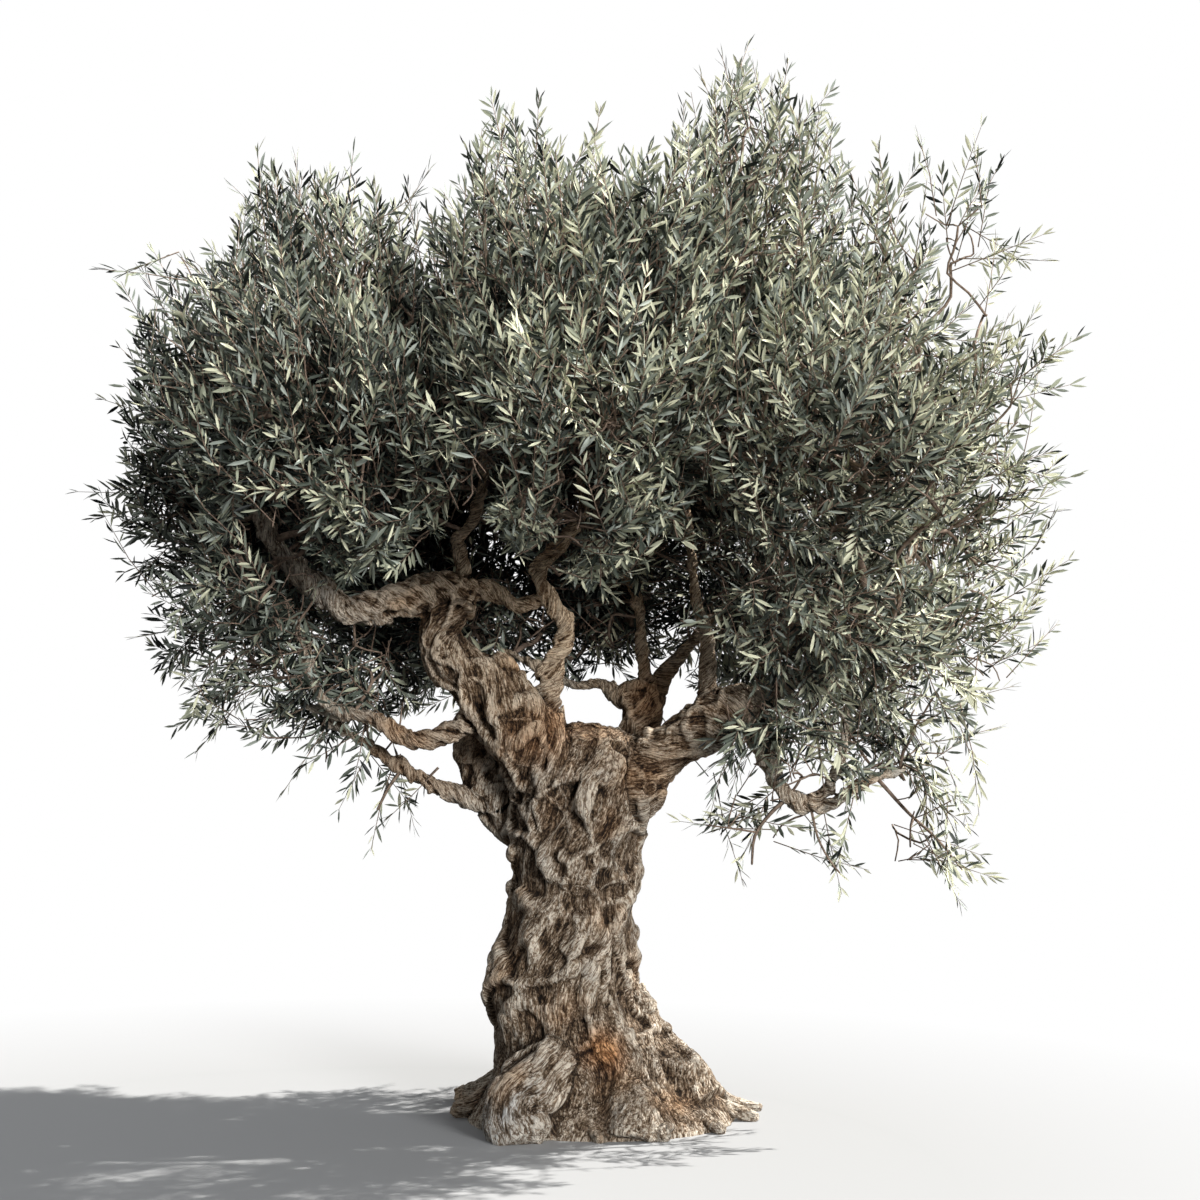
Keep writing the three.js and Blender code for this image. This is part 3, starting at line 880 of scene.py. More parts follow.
def skin_arrays(rough):
    """Vertices and four-sided faces of a temporary object's finished skin. The object is removed."""
    skin = bpy.data.meshes.new_from_object(rough.evaluated_get(bpy.context.evaluated_depsgraph_get()))
    bpy.data.objects.remove(rough)
    vertices = np.zeros(len(skin.vertices) * 3, np.float32)
    skin.vertices.foreach_get("co", vertices)
    quads = np.zeros(len(skin.loops), np.int32)
    skin.loops.foreach_get("vertex_index", quads)
    bpy.data.meshes.remove(skin)
    return vertices.reshape(-1, 3).astype(float), quads.reshape(-1, 4)


def walk_ropes(rng, limbs, blocks):
    """Ropes of old wood on the skin. A walk starts on a limb and goes on in small steps, along the way of
    the limb under it swung to and fro by a sine, and is set back on the skin after every step. Its tube is
    thinner at both ends and on thinner limbs, and sunk by a share of its radius."""
    rough = remeshed(blocks, WALK_VOXEL, 2)
    skin = BVHTree.FromObject(rough, bpy.context.evaluated_depsgraph_get())
    bpy.data.objects.remove(rough)
    points = np.vstack([limb.points for limb in limbs.values()])
    ways = np.vstack([limb.tangents for limb in limbs.values()])
    radii = np.concatenate([limb.radii for limb in limbs.values()])
    ropes = []
    for name, limb in limbs.items():
        size = np.median(limb.radii)
        if size < THINNEST_ROPED or name.startswith("root"):
            continue
        area = 2 * math.pi * size * limb.lengths[-1]
        count = max(2, round(area / ROPE_SPACING / np.mean(ROPE_LENGTH)))
        for _ in range(count):
            at = rng.integers(0, int(0.85 * len(limb.points)))
            bearing = rng.uniform(0, 2 * math.pi)
            out = math.cos(bearing) * limb.sides[at] + math.sin(bearing) * limb.crosses[at]
            start = limb.points[at] + out * limb.radii[at]
            ropes.append(walk_one(rng, skin, start, points, ways, radii))
    chains = np.concatenate([np.full(len(rope), number) for number, rope in enumerate(ropes)])
    rows = np.vstack(ropes)
    return many_tubes(rows[:, :3], rows[:, 3], chains, ROPE_SIDES, rows[:, 4:])


def walk_one(rng, skin, start, points, ways, radii):
    """One rope's walk: rows of its middle, radius and the skin's outward way there. It ends at its length,
    where the limb gets thin or at the ground, and near the ground it swings less."""
    length = rng.uniform(*ROPE_LENGTH)
    wave = rng.uniform(*ROPE_WAVE)
    phase = rng.uniform(0, 2 * math.pi)
    drift = rng.normal(0, ROPE_DRIFT)
    swing = ROPE_SWING * rng.uniform(0.5, 1.1)
    thickness = rng.uniform(*ROPE_THICKNESS)
    place, out = (np.array(value) for value in skin.find_nearest(Vector(start))[:2])
    rows = []
    gone = 0.0
    while gone < length:
        near = np.argmin(np.linalg.norm(points - place, axis=1) - radii)
        size = radii[near]
        if size < 0.5 * THINNEST_ROPED:
            break
        reach = (size / ROPE_FULL) ** ROPE_SHRINK
        rows.append([*place, ROPE_RADIUS * thickness * reach, *out])
        way = unit(ways[near] - out * np.dot(ways[near], out))
        calm = min(1.0, ROPE_CALM[0] + place[2] / ROPE_CALM[1])
        turn = calm * (drift + swing * math.sin(2 * math.pi * gone / (wave * max(reach, 0.5)) + phase))
        way = way * math.cos(turn) + np.cross(out, way) * math.sin(turn)
        step = ROPE_STEP * max(reach, 0.4)
        place, out = (np.array(value) for value in skin.find_nearest(Vector(place + way * step))[:2])
        gone += step
        if place[2] < 0.004:
            break
    while len(rows) < 3:
        rows.append([*(np.array(rows[-1][:3]) + 0.002), *rows[-1][3:]])
    rows = np.array(rows)
    t = np.linspace(0, 1, len(rows))
    slim = ROPE_END + (1 - ROPE_END) * np.sin(math.pi * t) ** 0.5
    rows[:, 3] *= slim * (1 + ROPE_SWELL * np.sin(19 * t + phase))
    rows[:, :3] -= rows[:, 4:] * rows[:, 3:4] * ROPE_SUNK
    return rows


# ------------------------------------------------------------------ wood: the bark's relief

def straightened(points, limb):
    """Where points lie along a limb as if it were straight: the two offsets across it, the length along it
    and the distance outside its radius. Frames are blended between the two nearest samples of the limb."""
    centres = limb.points
    gaps = (points ** 2).sum(1)[:, None] - 2 * points @ centres.T + (centres ** 2).sum(1)
    near = np.argmin(gaps, axis=1)
    ahead = np.sum((points - centres[near]) * limb.tangents[near], axis=1)
    other = np.clip(near + np.where(ahead > 0, 1, -1), 0, len(centres) - 1)
    span = np.maximum(np.abs(limb.lengths[other] - limb.lengths[near]), 1e-6)
    share = np.where(other == near, 0.0, np.clip(np.abs(ahead) / span, 0, 1))[:, None]

    def blended(values):
        return values[near] * (1 - share) + values[other] * share

    way = points - blended(centres)
    across = np.sum(way * blended(limb.sides), axis=1)
    deep = np.sum(way * blended(limb.crosses), axis=1)
    along = blended(limb.lengths[:, None])[:, 0] + np.where(other == near, ahead, 0.0)
    outside = np.linalg.norm(way, axis=1) - blended(limb.radii[:, None])[:, 0]
    return np.column_stack([across, deep, along]), outside


def face_sums(values, faces, count):
    """For every vertex the sum of its faces' values."""
    corners = faces.ravel()
    each = np.repeat(values, 4, axis=0)
    return np.column_stack([np.bincount(corners, each[:, axis], count) for axis in range(values.shape[1])])


def skin_normals(vertices, faces):
    """Outward normals at the vertices: the faces' normals, summed by area."""
    a, b, c, d = (vertices[faces[:, corner]] for corner in range(4))
    return unit(face_sums(np.cross(c - a, d - b), faces, len(vertices)))


def flattened(vertices, faces, rounds):
    """The skin smoothed flat: in each round every vertex goes to the mean middle of its faces."""
    share = 1 / np.maximum(np.bincount(faces.ravel(), minlength=len(vertices)), 1)[:, None]
    for _ in range(rounds):
        vertices = face_sums(vertices[faces].mean(axis=1), faces, len(vertices)) * share
    return vertices


def limb_grain(vertices, limbs):
    """For every vertex its place along the nearest limb as if that were straight, turned with the strands,
    and that limb's median radius."""
    grain = np.zeros((len(vertices), 3))
    size = np.full(len(vertices), 0.01)
    closest = np.full(len(vertices), 9.0)
    for number, limb in enumerate(limbs.values()):
        low = (limb.points - limb.radii[:, None]).min(0) - 0.06
        high = (limb.points + limb.radii[:, None]).max(0) + 0.06
        chosen = np.flatnonzero(np.all((vertices > low) & (vertices < high), axis=1))
        if len(chosen) == 0:
            continue
        place, outside = straightened(vertices[chosen], limb)
        nearer = outside < closest[chosen]
        chosen, place, outside = chosen[nearer], place[nearer], outside[nearer]
        turn = -limb.twist * place[:, 2]
        x = place[:, 0] * np.cos(turn) - place[:, 1] * np.sin(turn)
        y = place[:, 0] * np.sin(turn) + place[:, 1] * np.cos(turn)
        grain[chosen] = np.column_stack([x, y, place[:, 2]]) + 1.7 * number
        size[chosen] = np.median(limb.radii)
        closest[chosen] = outside
    return grain, size


def wander(points, scale, shifts):
    """Offsets that change smoothly from place to place: a noise of its own for each axis."""
    return np.column_stack([noise(points * scale, shift) for shift in shifts])


def net_ridges(vertices, reach, wide, bend):
    """A net of ridges along the borders between bent cells, from 0 in the hollows to about 1. A ridge is
    half round across, and it swells and fades along its way."""
    border = cell_edges(vertices / (NET_CELL * reach[:, None] ** 0.7) + 0.55 * wide + 0.16 * bend)
    fading = np.clip(0.75 + 1.1 * noise(vertices * 6.0, 51.0), 0.15, 1.25)
    return np.sqrt(np.clip(1.02 - (border / (NET_WIDTH * (0.6 + 0.5 * fading))) ** 2, 0, 1)) * fading


def fine_ridges(grain, reach, bend):
    """Narrow ridges round small cells drawn out along the grain, from 0 to 1."""
    cell = (FINE_SIZE + FINE_GROWTH * reach)[:, None] * FINE_CELL
    return np.exp(-(cell_edges(grain / cell + 0.5 * bend) / 0.25) ** 2)


def burl_rise(vertices):
    """How high the burls lift each vertex: a bell round every burl's middle."""
    return sum(
        rise * np.exp(-(np.linalg.norm(vertices - (x, y, z), axis=1) / spread) ** 2)
        for x, y, z, spread, rise in BURLS
    )


def saw_stump(lifted, vertices, lump):
    """Sets the skin at the top of the trunk down to the old cut: a leaning face that falls off by the
    square of the distance from its middle and is roughened by noise."""
    x, y, z = STUMP_TOP
    way = lifted[:, :2] - (x, y)
    far = np.hypot(way[:, 0], way[:, 1] * np.where(way[:, 1] < 0, 0.8, 1.0))
    sawn = (far < STUMP_REACH) & (way[:, 0] > STUMP_LEFT) & (lifted[:, 2] < z + 0.1)
    way = way[sawn]
    top = z + STUMP_LEAN * way[:, 0] - STUMP_DOME * (way ** 2).sum(axis=1) + 0.012 * lump[sawn]
    top += 0.012 * noise(vertices[sawn] * 16.0, 4.4) + 0.010 * noise(vertices[sawn] * 38.0, 9.9)
    lifted[sawn, 2] = np.minimum(lifted[sawn, 2], top)


def carve_bark(vertices, faces, limbs):
    """Raises the skin into bark: broad swells, a net of ridges round hollows, fine ridges, fibres along the
    grain, strings on thin boughs and burls. Gives the new vertices, `rope`, how far each stands out from
    the skin smoothed flat, from 0 in a cleft through 0.5 to 1 on a rope, and the grain's places."""
    grain, size = limb_grain(vertices, limbs)
    normals = skin_normals(vertices, faces)
    reach = np.clip(size / FULL_RELIEF, LEAST_RELIEF, 1.0) ** 0.7
    bend = wander(vertices, BEND_SCALE, (3.1, 17.7, 31.3))
    wide = wander(vertices, WIDE_SCALE, (5.3, 41.7, 23.9))
    lump = noise(vertices * LUMP_SCALE, 8.8)
    net = np.interp(vertices[:, 2], NET_FOOT, (0.25, 1.0)) * (net_ridges(vertices, reach, wide, bend) - 0.40)
    fibre = noise(grain * FIBRE_SCALE + 0.8 * bend, 2.2)
    strings = 1 - 2.4 * np.abs(noise(grain * STRING_SCALE + 0.5 * bend, 6.1))
    height = reach * (LUMP_RISE * lump + NET_RISE * net + FINE_RISE * fine_ridges(grain, reach, bend))
    height += FIBRE_RISE * fibre + STRING_RISE * (1 - reach) * strings + burl_rise(vertices)
    lifted = vertices + normals * height[:, None]
    lifted[:, 2] = np.maximum(lifted[:, 2], 0.0)
    lifted[vertices[:, 2] < VOXEL * 0.8, 2] = 0.0
    saw_stump(lifted, vertices, lump)
    proud = np.sum((lifted - flattened(lifted, faces, FLATTENINGS)) * normals, axis=1)
    rope = 0.5 + 0.5 * np.tanh(proud / (PROUD_FULL * reach + PROUD_LEAST))
    rope += (1 - reach) * (0.30 * strings - 0.08)
    return lifted, np.clip(rope, 0, 1), grain + GRAIN_WAVER * bend + GRAIN_SWIRL * wide


def closed_part(vertices, faces, chosen):
    """The chosen faces of a closed skin as a closed mesh: every loop of its rim is covered by a fan over
    its middle. Gives the used vertex numbers, renumbered faces, fan triangles and fan middles."""
    kept = faces[chosen]
    edges = np.vstack([kept[:, (corner, (corner + 1) % 4)] for corner in range(4)]).astype(np.int64)
    keys = edges[:, 0] * len(vertices) + edges[:, 1]
    rim = edges[~np.isin(keys, edges[:, 1] * len(vertices) + edges[:, 0])]
    used, renumbered = np.unique(kept, return_inverse=True)
    rim = np.searchsorted(used, rim)
    onward = np.arange(len(used))
    onward[rim[:, 0]] = rim[:, 1]
    label = np.arange(len(used))
    for _ in range(16):
        label = np.minimum(label, label[onward])
        onward = onward[onward]
    loops, loop = np.unique(label[rim[:, 0]], return_inverse=True)
    weight = np.bincount(loop)[:, None]
    spots = vertices[used[rim[:, 0]]]
    middles = np.column_stack([np.bincount(loop, spots[:, axis]) for axis in range(3)]) / weight
    fans = np.column_stack([rim[:, 1], rim[:, 0], len(used) + loop])
    return used, renumbered.reshape(-1, 4), fans, middles


def make_wood(limbs, materials):
    """The wood as closed pieces: foot, trunk, left and right boughs, each with the rope height and the
    grain as attributes."""
    rng = np.random.default_rng(41)
    blocks = limb_blocks(rng, limbs)
    blocks.append(walk_ropes(rng, limbs, blocks))
    vertices, faces = skin_arrays(remeshed(blocks, VOXEL, SMOOTHINGS))
    vertices, rope, grain = carve_bark(vertices, faces, limbs)
    normals = skin_normals(vertices, faces)
    middles = vertices[faces].mean(axis=1)
    level = np.searchsorted(SPLITS, middles[:, 2])
    part = np.where(level < 2, level, 2 + (middles[:, 0] > MIDDLE_SPLIT))
    pieces = {}
    for number, name in enumerate(["foot_bark", "trunk_bark", "left_bough_bark", "right_bough_bark"]):
        used, quads, fans, hubs = closed_part(vertices, faces, part == number)
        piece = make_piece(name, np.vstack([vertices[used], hubs]), [quads, fans], materials, (True, False))
        height = piece.data.attributes.new("rope", "FLOAT", "POINT")
        height.data.foreach_set("value", np.append(rope[used], np.full(len(hubs), 0.5)).astype(np.float32))
        fibres = piece.data.attributes.new("grain", "FLOAT_VECTOR", "POINT")
        fibres.data.foreach_set("vector", np.vstack([grain[used], hubs]).astype(np.float32).ravel())
        hub_normals = np.tile(WORLD_UP, (len(hubs), 1))
        piece.data.normals_split_custom_set_from_vertices(np.vstack([normals[used], hub_normals]))
        pieces[name] = piece
    return pieces


# ------------------------------------------------------------------ crown: shoots and branches

def mass_triangles(node):
    """Corners of a CAD node's triangles, as an array (triangles, 3, 3)."""
    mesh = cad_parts[node].data
    mesh.calc_loop_triangles()
    places = np.zeros(len(mesh.vertices) * 3, np.float32)
    mesh.vertices.foreach_get("co", places)
    corners = np.zeros(len(mesh.loop_triangles) * 3, np.int32)
    mesh.loop_triangles.foreach_get("vertices", corners)
    return places.reshape(-1, 3)[corners.reshape(-1, 3)].astype(float)


# Leafy shoots: feet, ways, how far the tips are bent aside, lengths, ways out of the crown and leaf pieces.
Shoots = namedtuple("Shoots", "feet ways bends lengths outs regions")


def sow_mass(rng, name, region):
    """The shoots of one mass. Their tips lie at shares of the way from its middle to random points of its
    surface, more of them near the surface, and point outwards and up, or droop low in the crown."""
    triangles = mass_triangles(f"foliage_{name}")
    normal = np.cross(triangles[:, 1] - triangles[:, 0], triangles[:, 2] - triangles[:, 0])
    area = np.linalg.norm(normal, axis=1) / 2
    middle = (triangles.mean(axis=1) * area[:, None]).sum(axis=0) / area.sum()
    volume = abs(np.sum(triangles[:, 0] * normal) / 6)
    count = int(SHOOTS_PER_CUBIC_METRE * FULLNESS.get(name, 1.0) * volume)
    chosen = triangles[rng.choice(len(triangles), count, p=area / area.sum())]
    a, b = rng.random((2, count, 1))
    fold = a + b > 1
    a, b = np.where(fold, 1 - a, a), np.where(fold, 1 - b, b)
    surface = chosen[:, 0] + a * (chosen[:, 1] - chosen[:, 0]) + b * (chosen[:, 2] - chosen[:, 0])
    shell = rng.random((count, 1)) < SHELL_SHARE
    outer = np.where(rng.random((count, 1)) < PROUD_SHARE, PROUD_REACH, rng.uniform(*SHELL_SPAN, (count, 1)))
    share = np.where(shell, outer, rng.uniform(*INNER_SPAN, (count, 1)) ** INNER_POWER)
    tips = middle + (surface - middle) * share
    out = unit(unit(tips - middle) * MASS_PULL + unit(tips - CROWN_MIDDLE) * (1 - MASS_PULL))
    lift = np.interp(tips[:, 2], *SHOOT_LIFT)[:, None]
    ways = unit(out + WORLD_UP * lift + random_units(rng, count) * WAY_SCATTER)
    lengths = rng.uniform(*SHOOT_LENGTH, count)
    rise = np.interp(tips[:, 2], *SHOOT_BEND)[:, None]
    bends = (WORLD_UP * rise + rng.normal(0, BEND_SCATTER, (count, 3))) * lengths[:, None]
    feet = tips - ways * lengths[:, None] - bends
    return Shoots(feet, ways, bends, lengths, out, np.full(count, region))


def sow_shoots(rng):
    """The leafy shoots of every mass, less those that would leave the tree's box or the crown's outline or
    hide a bare limb, and then the lone shoots."""
    batches = []
    for region, names in enumerate(REGIONS.values()):
        batches += [sow_mass(rng, name, region) for name in names]
    shoots = Shoots(*(np.concatenate(column) for column in zip(*batches)))
    tips = shoots.feet + shoots.ways * shoots.lengths[:, None] + shoots.bends
    low, high = (np.array(corner) for corner in cad_box)
    kept = np.all((tips > low - BOX_MARGIN) & (tips < high + BOX_MARGIN), axis=1)
    kept &= in_the_open(rng, shoots) & in_outline(rng, tips + 0.04 * shoots.ways)
    kept &= outline_depth(seen_from_front(shoots.feet)) > 0
    shoots = Shoots(*(column[kept] for column in shoots))
    return Shoots(*(np.concatenate(columns) for columns in zip(shoots, lone_shoots(rng, shoots))))


def seen_from_front(points):
    """The x and z where the lines of sight from the camera's place to the points pass through y = 0."""
    share = (-CAMERA_PLACE[1] / (points[:, 1] - CAMERA_PLACE[1]))[:, None]
    eye = np.array(CAMERA_PLACE)[[0, 2]]
    return eye + (points[:, [0, 2]] - eye) * share


def outline_depth(seen):
    """How deep points seen from the front lie inside the crown's outline, as less than 0 outside it. Inside
    is where a line to the right crosses the outline an odd number of times."""
    x, z = seen[:, :1], seen[:, 1:]
    start = np.array(CROWN_OUTLINE)
    way = np.roll(start, -1, axis=0) - start
    spans = (start[:, 1] > z) != (start[:, 1] + way[:, 1] > z)
    slope = way[:, 0] / np.where(way[:, 1] == 0, 1e-9, way[:, 1])
    crossings = spans & (x < start[:, 0] + (z - start[:, 1]) * slope)
    share = np.clip(((x - start[:, 0]) * way[:, 0] + (z - start[:, 1]) * way[:, 1]) / (way ** 2).sum(1), 0, 1)
    edge = np.hypot(x - start[:, 0] - share * way[:, 0], z - start[:, 1] - share * way[:, 1]).min(axis=1)
    return np.where(crossings.sum(axis=1) % 2 == 1, edge, -edge)


def in_outline(rng, points):
    """Which points are kept so that the crown has its outline and gaps. Near the outline only a share is
    kept, and none outside it or in a gap."""
    seen = seen_from_front(points)
    depth = outline_depth(seen)
    kept = (depth > 0) & (rng.random(len(points)) < EDGE_SHARE + (1 - EDGE_SHARE) * depth / EDGE_DEPTH)
    for gap_x, gap_z, reach in SKY_GAPS:
        kept &= np.hypot(seen[:, 0] - gap_x, seen[:, 1] - gap_z) > reach
    return kept


def lone_shoots(rng, shoots):
    """Long shoots whose tips are those of LONE_TIPS and FRONT_TIPS, each with a side shoot. They join the
    leaves of the nearest other shoot."""
    rows = np.repeat(np.array(LONE_TIPS + FRONT_TIPS), 2, axis=0)
    side = np.arange(len(rows)) % 2
    turn = side * rng.choice((-1, 1), len(rows)) * rng.uniform(*SIDE_TURN, len(rows))
    bearing = np.radians(rows[:, 2] + turn)
    depth = rng.uniform(-LONE_DEPTH, LONE_DEPTH, len(LONE_TIPS) + len(FRONT_TIPS))
    depth[len(LONE_TIPS):] = FRONT_DEPTH + 0.3 * depth[len(LONE_TIPS):]
    depth = np.repeat(depth, 2)
    eye = np.array(CAMERA_PLACE)
    nearer = ((depth - eye[1]) / -eye[1])[:, None]
    flat = eye[[0, 2]] + (rows[:, :2] - eye[[0, 2]]) * nearer
    main = np.radians(rows[:, 2])
    flat = flat - (side * SIDE_SETBACK)[:, None] * np.column_stack([np.cos(main), np.sin(main)])
    tips = np.column_stack([flat[:, 0], depth, flat[:, 1]])
    ways = np.column_stack([np.cos(bearing), rng.normal(0, 0.12, len(rows)), np.sin(bearing)])
    lengths = np.where(side == 1, SIDE_LENGTH, LONE_LENGTH) * rng.uniform(0.9, 1.1, len(rows))
    bends = rng.normal(0, 0.08, (len(rows), 3)) * lengths[:, None]
    feet = tips - ways * lengths[:, None] - bends
    nearest = np.argmin(((feet[:, None] - shoots.feet[None]) ** 2).sum(axis=2), axis=1)
    return Shoots(feet, ways, bends, lengths, unit(feet - CROWN_MIDDLE), shoots.regions[nearest])


def in_the_open(rng, shoots):
    """Which shoots keep clear of the bare limbs: those in front of one, with a place nearer to it as seen
    from the front than its radius and a margin, are left out but for a few."""
    blocked = np.zeros(len(shoots.feet), bool)
    for share in BARE_PLACES:
        points = shoots.feet + shoots.ways * shoots.lengths[:, None] * share + shoots.bends * share ** 2
        seen = seen_from_front(points)
        for name, (start, end) in BARE_LIMBS.items():
            path = smooth_path(LIMBS[name], BARE_STEP)
            path = path[int(start * len(path)):max(2, int(end * len(path)))]
            for (x, z), y, radius in zip(seen_from_front(path[:, :3]), path[:, 1], path[:, 3]):
                near = np.hypot(seen[:, 0] - x, seen[:, 1] - z) < radius + BARE_MARGIN
                blocked |= near & (points[:, 1] < y + radius)
    return ~blocked | (rng.random(len(blocked)) < BARE_STRAYS)


def join_buds(anchors, buds):
    """Grows the branches: again and again the bud with the cheapest way to the tree joins it. The cost is
    the distance to a node plus THRIFT times that node's own way back to a limb. Gives each bud's parent,
    and the order in which they joined. Nodes are numbered anchors first."""
    count = len(buds)
    waiting = np.full(count, np.inf)
    parent = np.zeros(count, int)
    for number, anchor in enumerate(anchors):
        far = np.linalg.norm(buds - anchor, axis=1)
        nearer = far < waiting
        waiting[nearer] = far[nearer]
        parent[nearer] = number
    way_back = np.zeros(len(anchors) + count)
    order = []
    nodes = np.vstack([anchors, buds])
    for _ in range(count):
        pick = int(np.argmin(waiting))
        node = len(anchors) + pick
        way_back[node] = way_back[parent[pick]] + np.linalg.norm(buds[pick] - nodes[parent[pick]])
        waiting[pick] = np.inf
        order.append(pick)
        price = np.linalg.norm(buds - buds[pick], axis=1) + THRIFT * way_back[node]
        better = (price < waiting) & np.isfinite(waiting)
        waiting[better] = price[better]
        parent[better] = node
    return parent, order


def bowed(rng, rows):
    """A branch with a point put into the middle of each long gap, moved aside by a share of the gap."""
    gaps = np.linalg.norm(np.diff(rows[:, :3], axis=0), axis=1)
    middles = (rows[1:] + rows[:-1]) / 2
    middles[:, :3] += rng.normal(0, BOW_SHARE, (len(gaps), 3)) * gaps[:, None]
    wide = np.flatnonzero(gaps > BOW_FROM)
    return np.insert(rows, wide + 1, middles[wide], axis=0)


def grow_branches(rng, limbs, buds):
    """The branches from the limbs to every bud, as centres, radii and chain numbers. A branch runs on
    through whichever of its forks carries more."""
    hanging = [smooth_path(points, HANGING_STEP) for points in HANGING.values()]
    growing = [limb for name, limb in limbs.items() if name in LIMBS and name not in BUDLESS]
    growing += [make_limb(path, 0.0) for path in hanging]
    anchors = np.vstack([limb.points[::3] for limb in growing])
    parent, order = join_buds(anchors, buds)
    offset = len(anchors)
    nodes = np.vstack([anchors, buds + rng.normal(size=buds.shape) * BRANCH_SCATTER])
    load = np.concatenate([np.zeros(offset), np.ones(len(buds))])
    for pick in reversed(order):
        load[parent[pick]] += load[offset + pick]
    radius = TWIG_RADIUS * np.maximum(load, 1) ** (1 / BRANCH_EXPONENT)
    heavy = {}
    for pick in order:
        mother = parent[pick]
        if mother not in heavy or load[offset + pick] > load[heavy[mother]]:
            heavy[mother] = offset + pick
    curves = []
    for pick in order:
        mother = parent[pick]
        node = offset + pick
        if mother >= offset and heavy[mother] == node:
            continue
        run = [mother, node]
        while run[-1] in heavy:
            run.append(heavy[run[-1]])
        thick = radius[run]
        thick[0] = thick[1]
        curves.append(smooth_path(bowed(rng, np.column_stack([nodes[run], thick])), BRANCH_STEP))
    curves += hanging
    chain = np.concatenate([np.full(len(curve), number) for number, curve in enumerate(curves)])
    rows = np.vstack(curves)
    return rows[:, :3], np.maximum(rows[:, 3], TWIG_RADIUS), chain


# ------------------------------------------------------------------ crown: twigs and leaves

def shoot_curve(shoots, t):
    """Points of each shoot at shares t of its length: out along its way, bent aside by the square of t."""
    straight = shoots.ways[:, None] * (shoots.lengths[:, None] * t)[:, :, None]
    return shoots.feet[:, None] + straight + shoots.bends[:, None] * (t ** 2)[:, :, None]


def shoot_stems(shoots):
    """The thin woody stems of all the shoots."""
    count = len(shoots.feet)
    points = shoot_curve(shoots, np.tile(TWIG_SHARES, (count, 1)))
    radii = np.tile(TWIG_RADIUS * TWIG_TAPER, count)
    chain = np.repeat(np.arange(count), len(TWIG_SHARES))
    return many_tubes(points.reshape(-1, 3), radii, chain, TWIG_SIDES)


def leaf_meshes(rng, shoots):
    """Leaves on every shoot: opposite pairs on either side of the stem, in a plane that faces outwards and
    up, leaning forward more towards the tip. A leaf is four triangles folded along its midrib. Gives
    vertices (leaves, 6, 3), the shoot that each leaf is on and the share of its length."""
    count = len(shoots.feet)
    pair = np.arange(LEAF_PAIRS)
    share = LEAFLESS + (1 - LEAFLESS) * (pair + 0.5) / LEAF_PAIRS
    share = np.clip(share + rng.uniform(-PLACE_SCATTER, PLACE_SCATTER, (count, LEAF_PAIRS)), 0, 1)
    spots = shoot_curve(shoots, share)
    stem = unit(shoot_curve(shoots, share + 0.05) - spots)
    plane = shoots.outs[:, None] * 0.7 + WORLD_UP * 0.5 + rng.normal(size=(count, 1, 3)) * PLANE_SCATTER
    plane = unit(plane - stem * dot(plane, stem))
    flank = np.cross(stem, plane)
    roll = (pair % 2) * rng.uniform(0.1, 1.2, (count, 1)) + rng.normal(0, 0.22, (count, LEAF_PAIRS))
    turn = np.stack([roll, roll + math.pi + rng.normal(0, 0.2, roll.shape)], axis=-1)[..., None]
    out = flank[:, :, None] * np.cos(turn) + plane[:, :, None] * np.sin(turn)
    lean = np.interp(share, *LEAF_LEAN)[..., None] + rng.normal(0, LEAN_SCATTER, turn.shape[:3])
    stems = stem[:, :, None] + 0 * out
    axis = stems * np.cos(lean)[..., None] + out * np.sin(lean)[..., None]
    axis = unit(axis + rng.normal(0, 0.05, axis.shape))
    face = plane[:, :, None] + FACE_SCATTER * rng.normal(size=axis.shape)
    face = unit(face - axis * dot(face, axis))
    wide = np.cross(axis, face)
    size = np.interp(share, *LEAF_SIZES)[..., None] * rng.normal(1.0, SIZE_SCATTER, turn.shape[:3])
    length = (LEAF_LENGTH * size)[..., None]
    width = (LEAF_WIDTH * size * rng.normal(1.0, 0.12, size.shape))[..., None]
    root = np.repeat(spots[:, :, None], 2, axis=2)
    corners = [
        root + axis * (along * length) + wide * (across * width) + face * (rise * width)
        for along, across, rise in LEAF_OUTLINE
    ]
    leaves = np.stack(corners, axis=-2).reshape(-1, len(LEAF_OUTLINE), 3)
    owner = np.repeat(np.arange(count), LEAF_PAIRS * 2)
    kept = rng.random(len(owner)) > LEAVES_LOST
    return leaves[kept], owner[kept], np.repeat(share.ravel(), 2)[kept]


def how_buried(shoots):
    """How much of the crown lies outside each shoot: the mean number of shoots in the cells at four steps
    further out and up, where a cell is a cube of side BURIED_CELL."""
    middles = shoots.feet + 0.5 * shoots.ways * shoots.lengths[:, None]
    low = middles.min(axis=0) - 1.0
    shape = np.ceil((middles.max(axis=0) + 1.0 - low) / BURIED_CELL).astype(int)

    def cells(points):
        return np.ravel_multi_index(((points - low) / BURIED_CELL).astype(int).T, shape)

    counts = np.bincount(cells(middles), minlength=np.prod(shape))
    way = unit(shoots.outs + 0.35 * WORLD_UP)
    return sum(counts[cells(middles + step * way)] for step in BURIED_STEPS) / len(BURIED_STEPS)


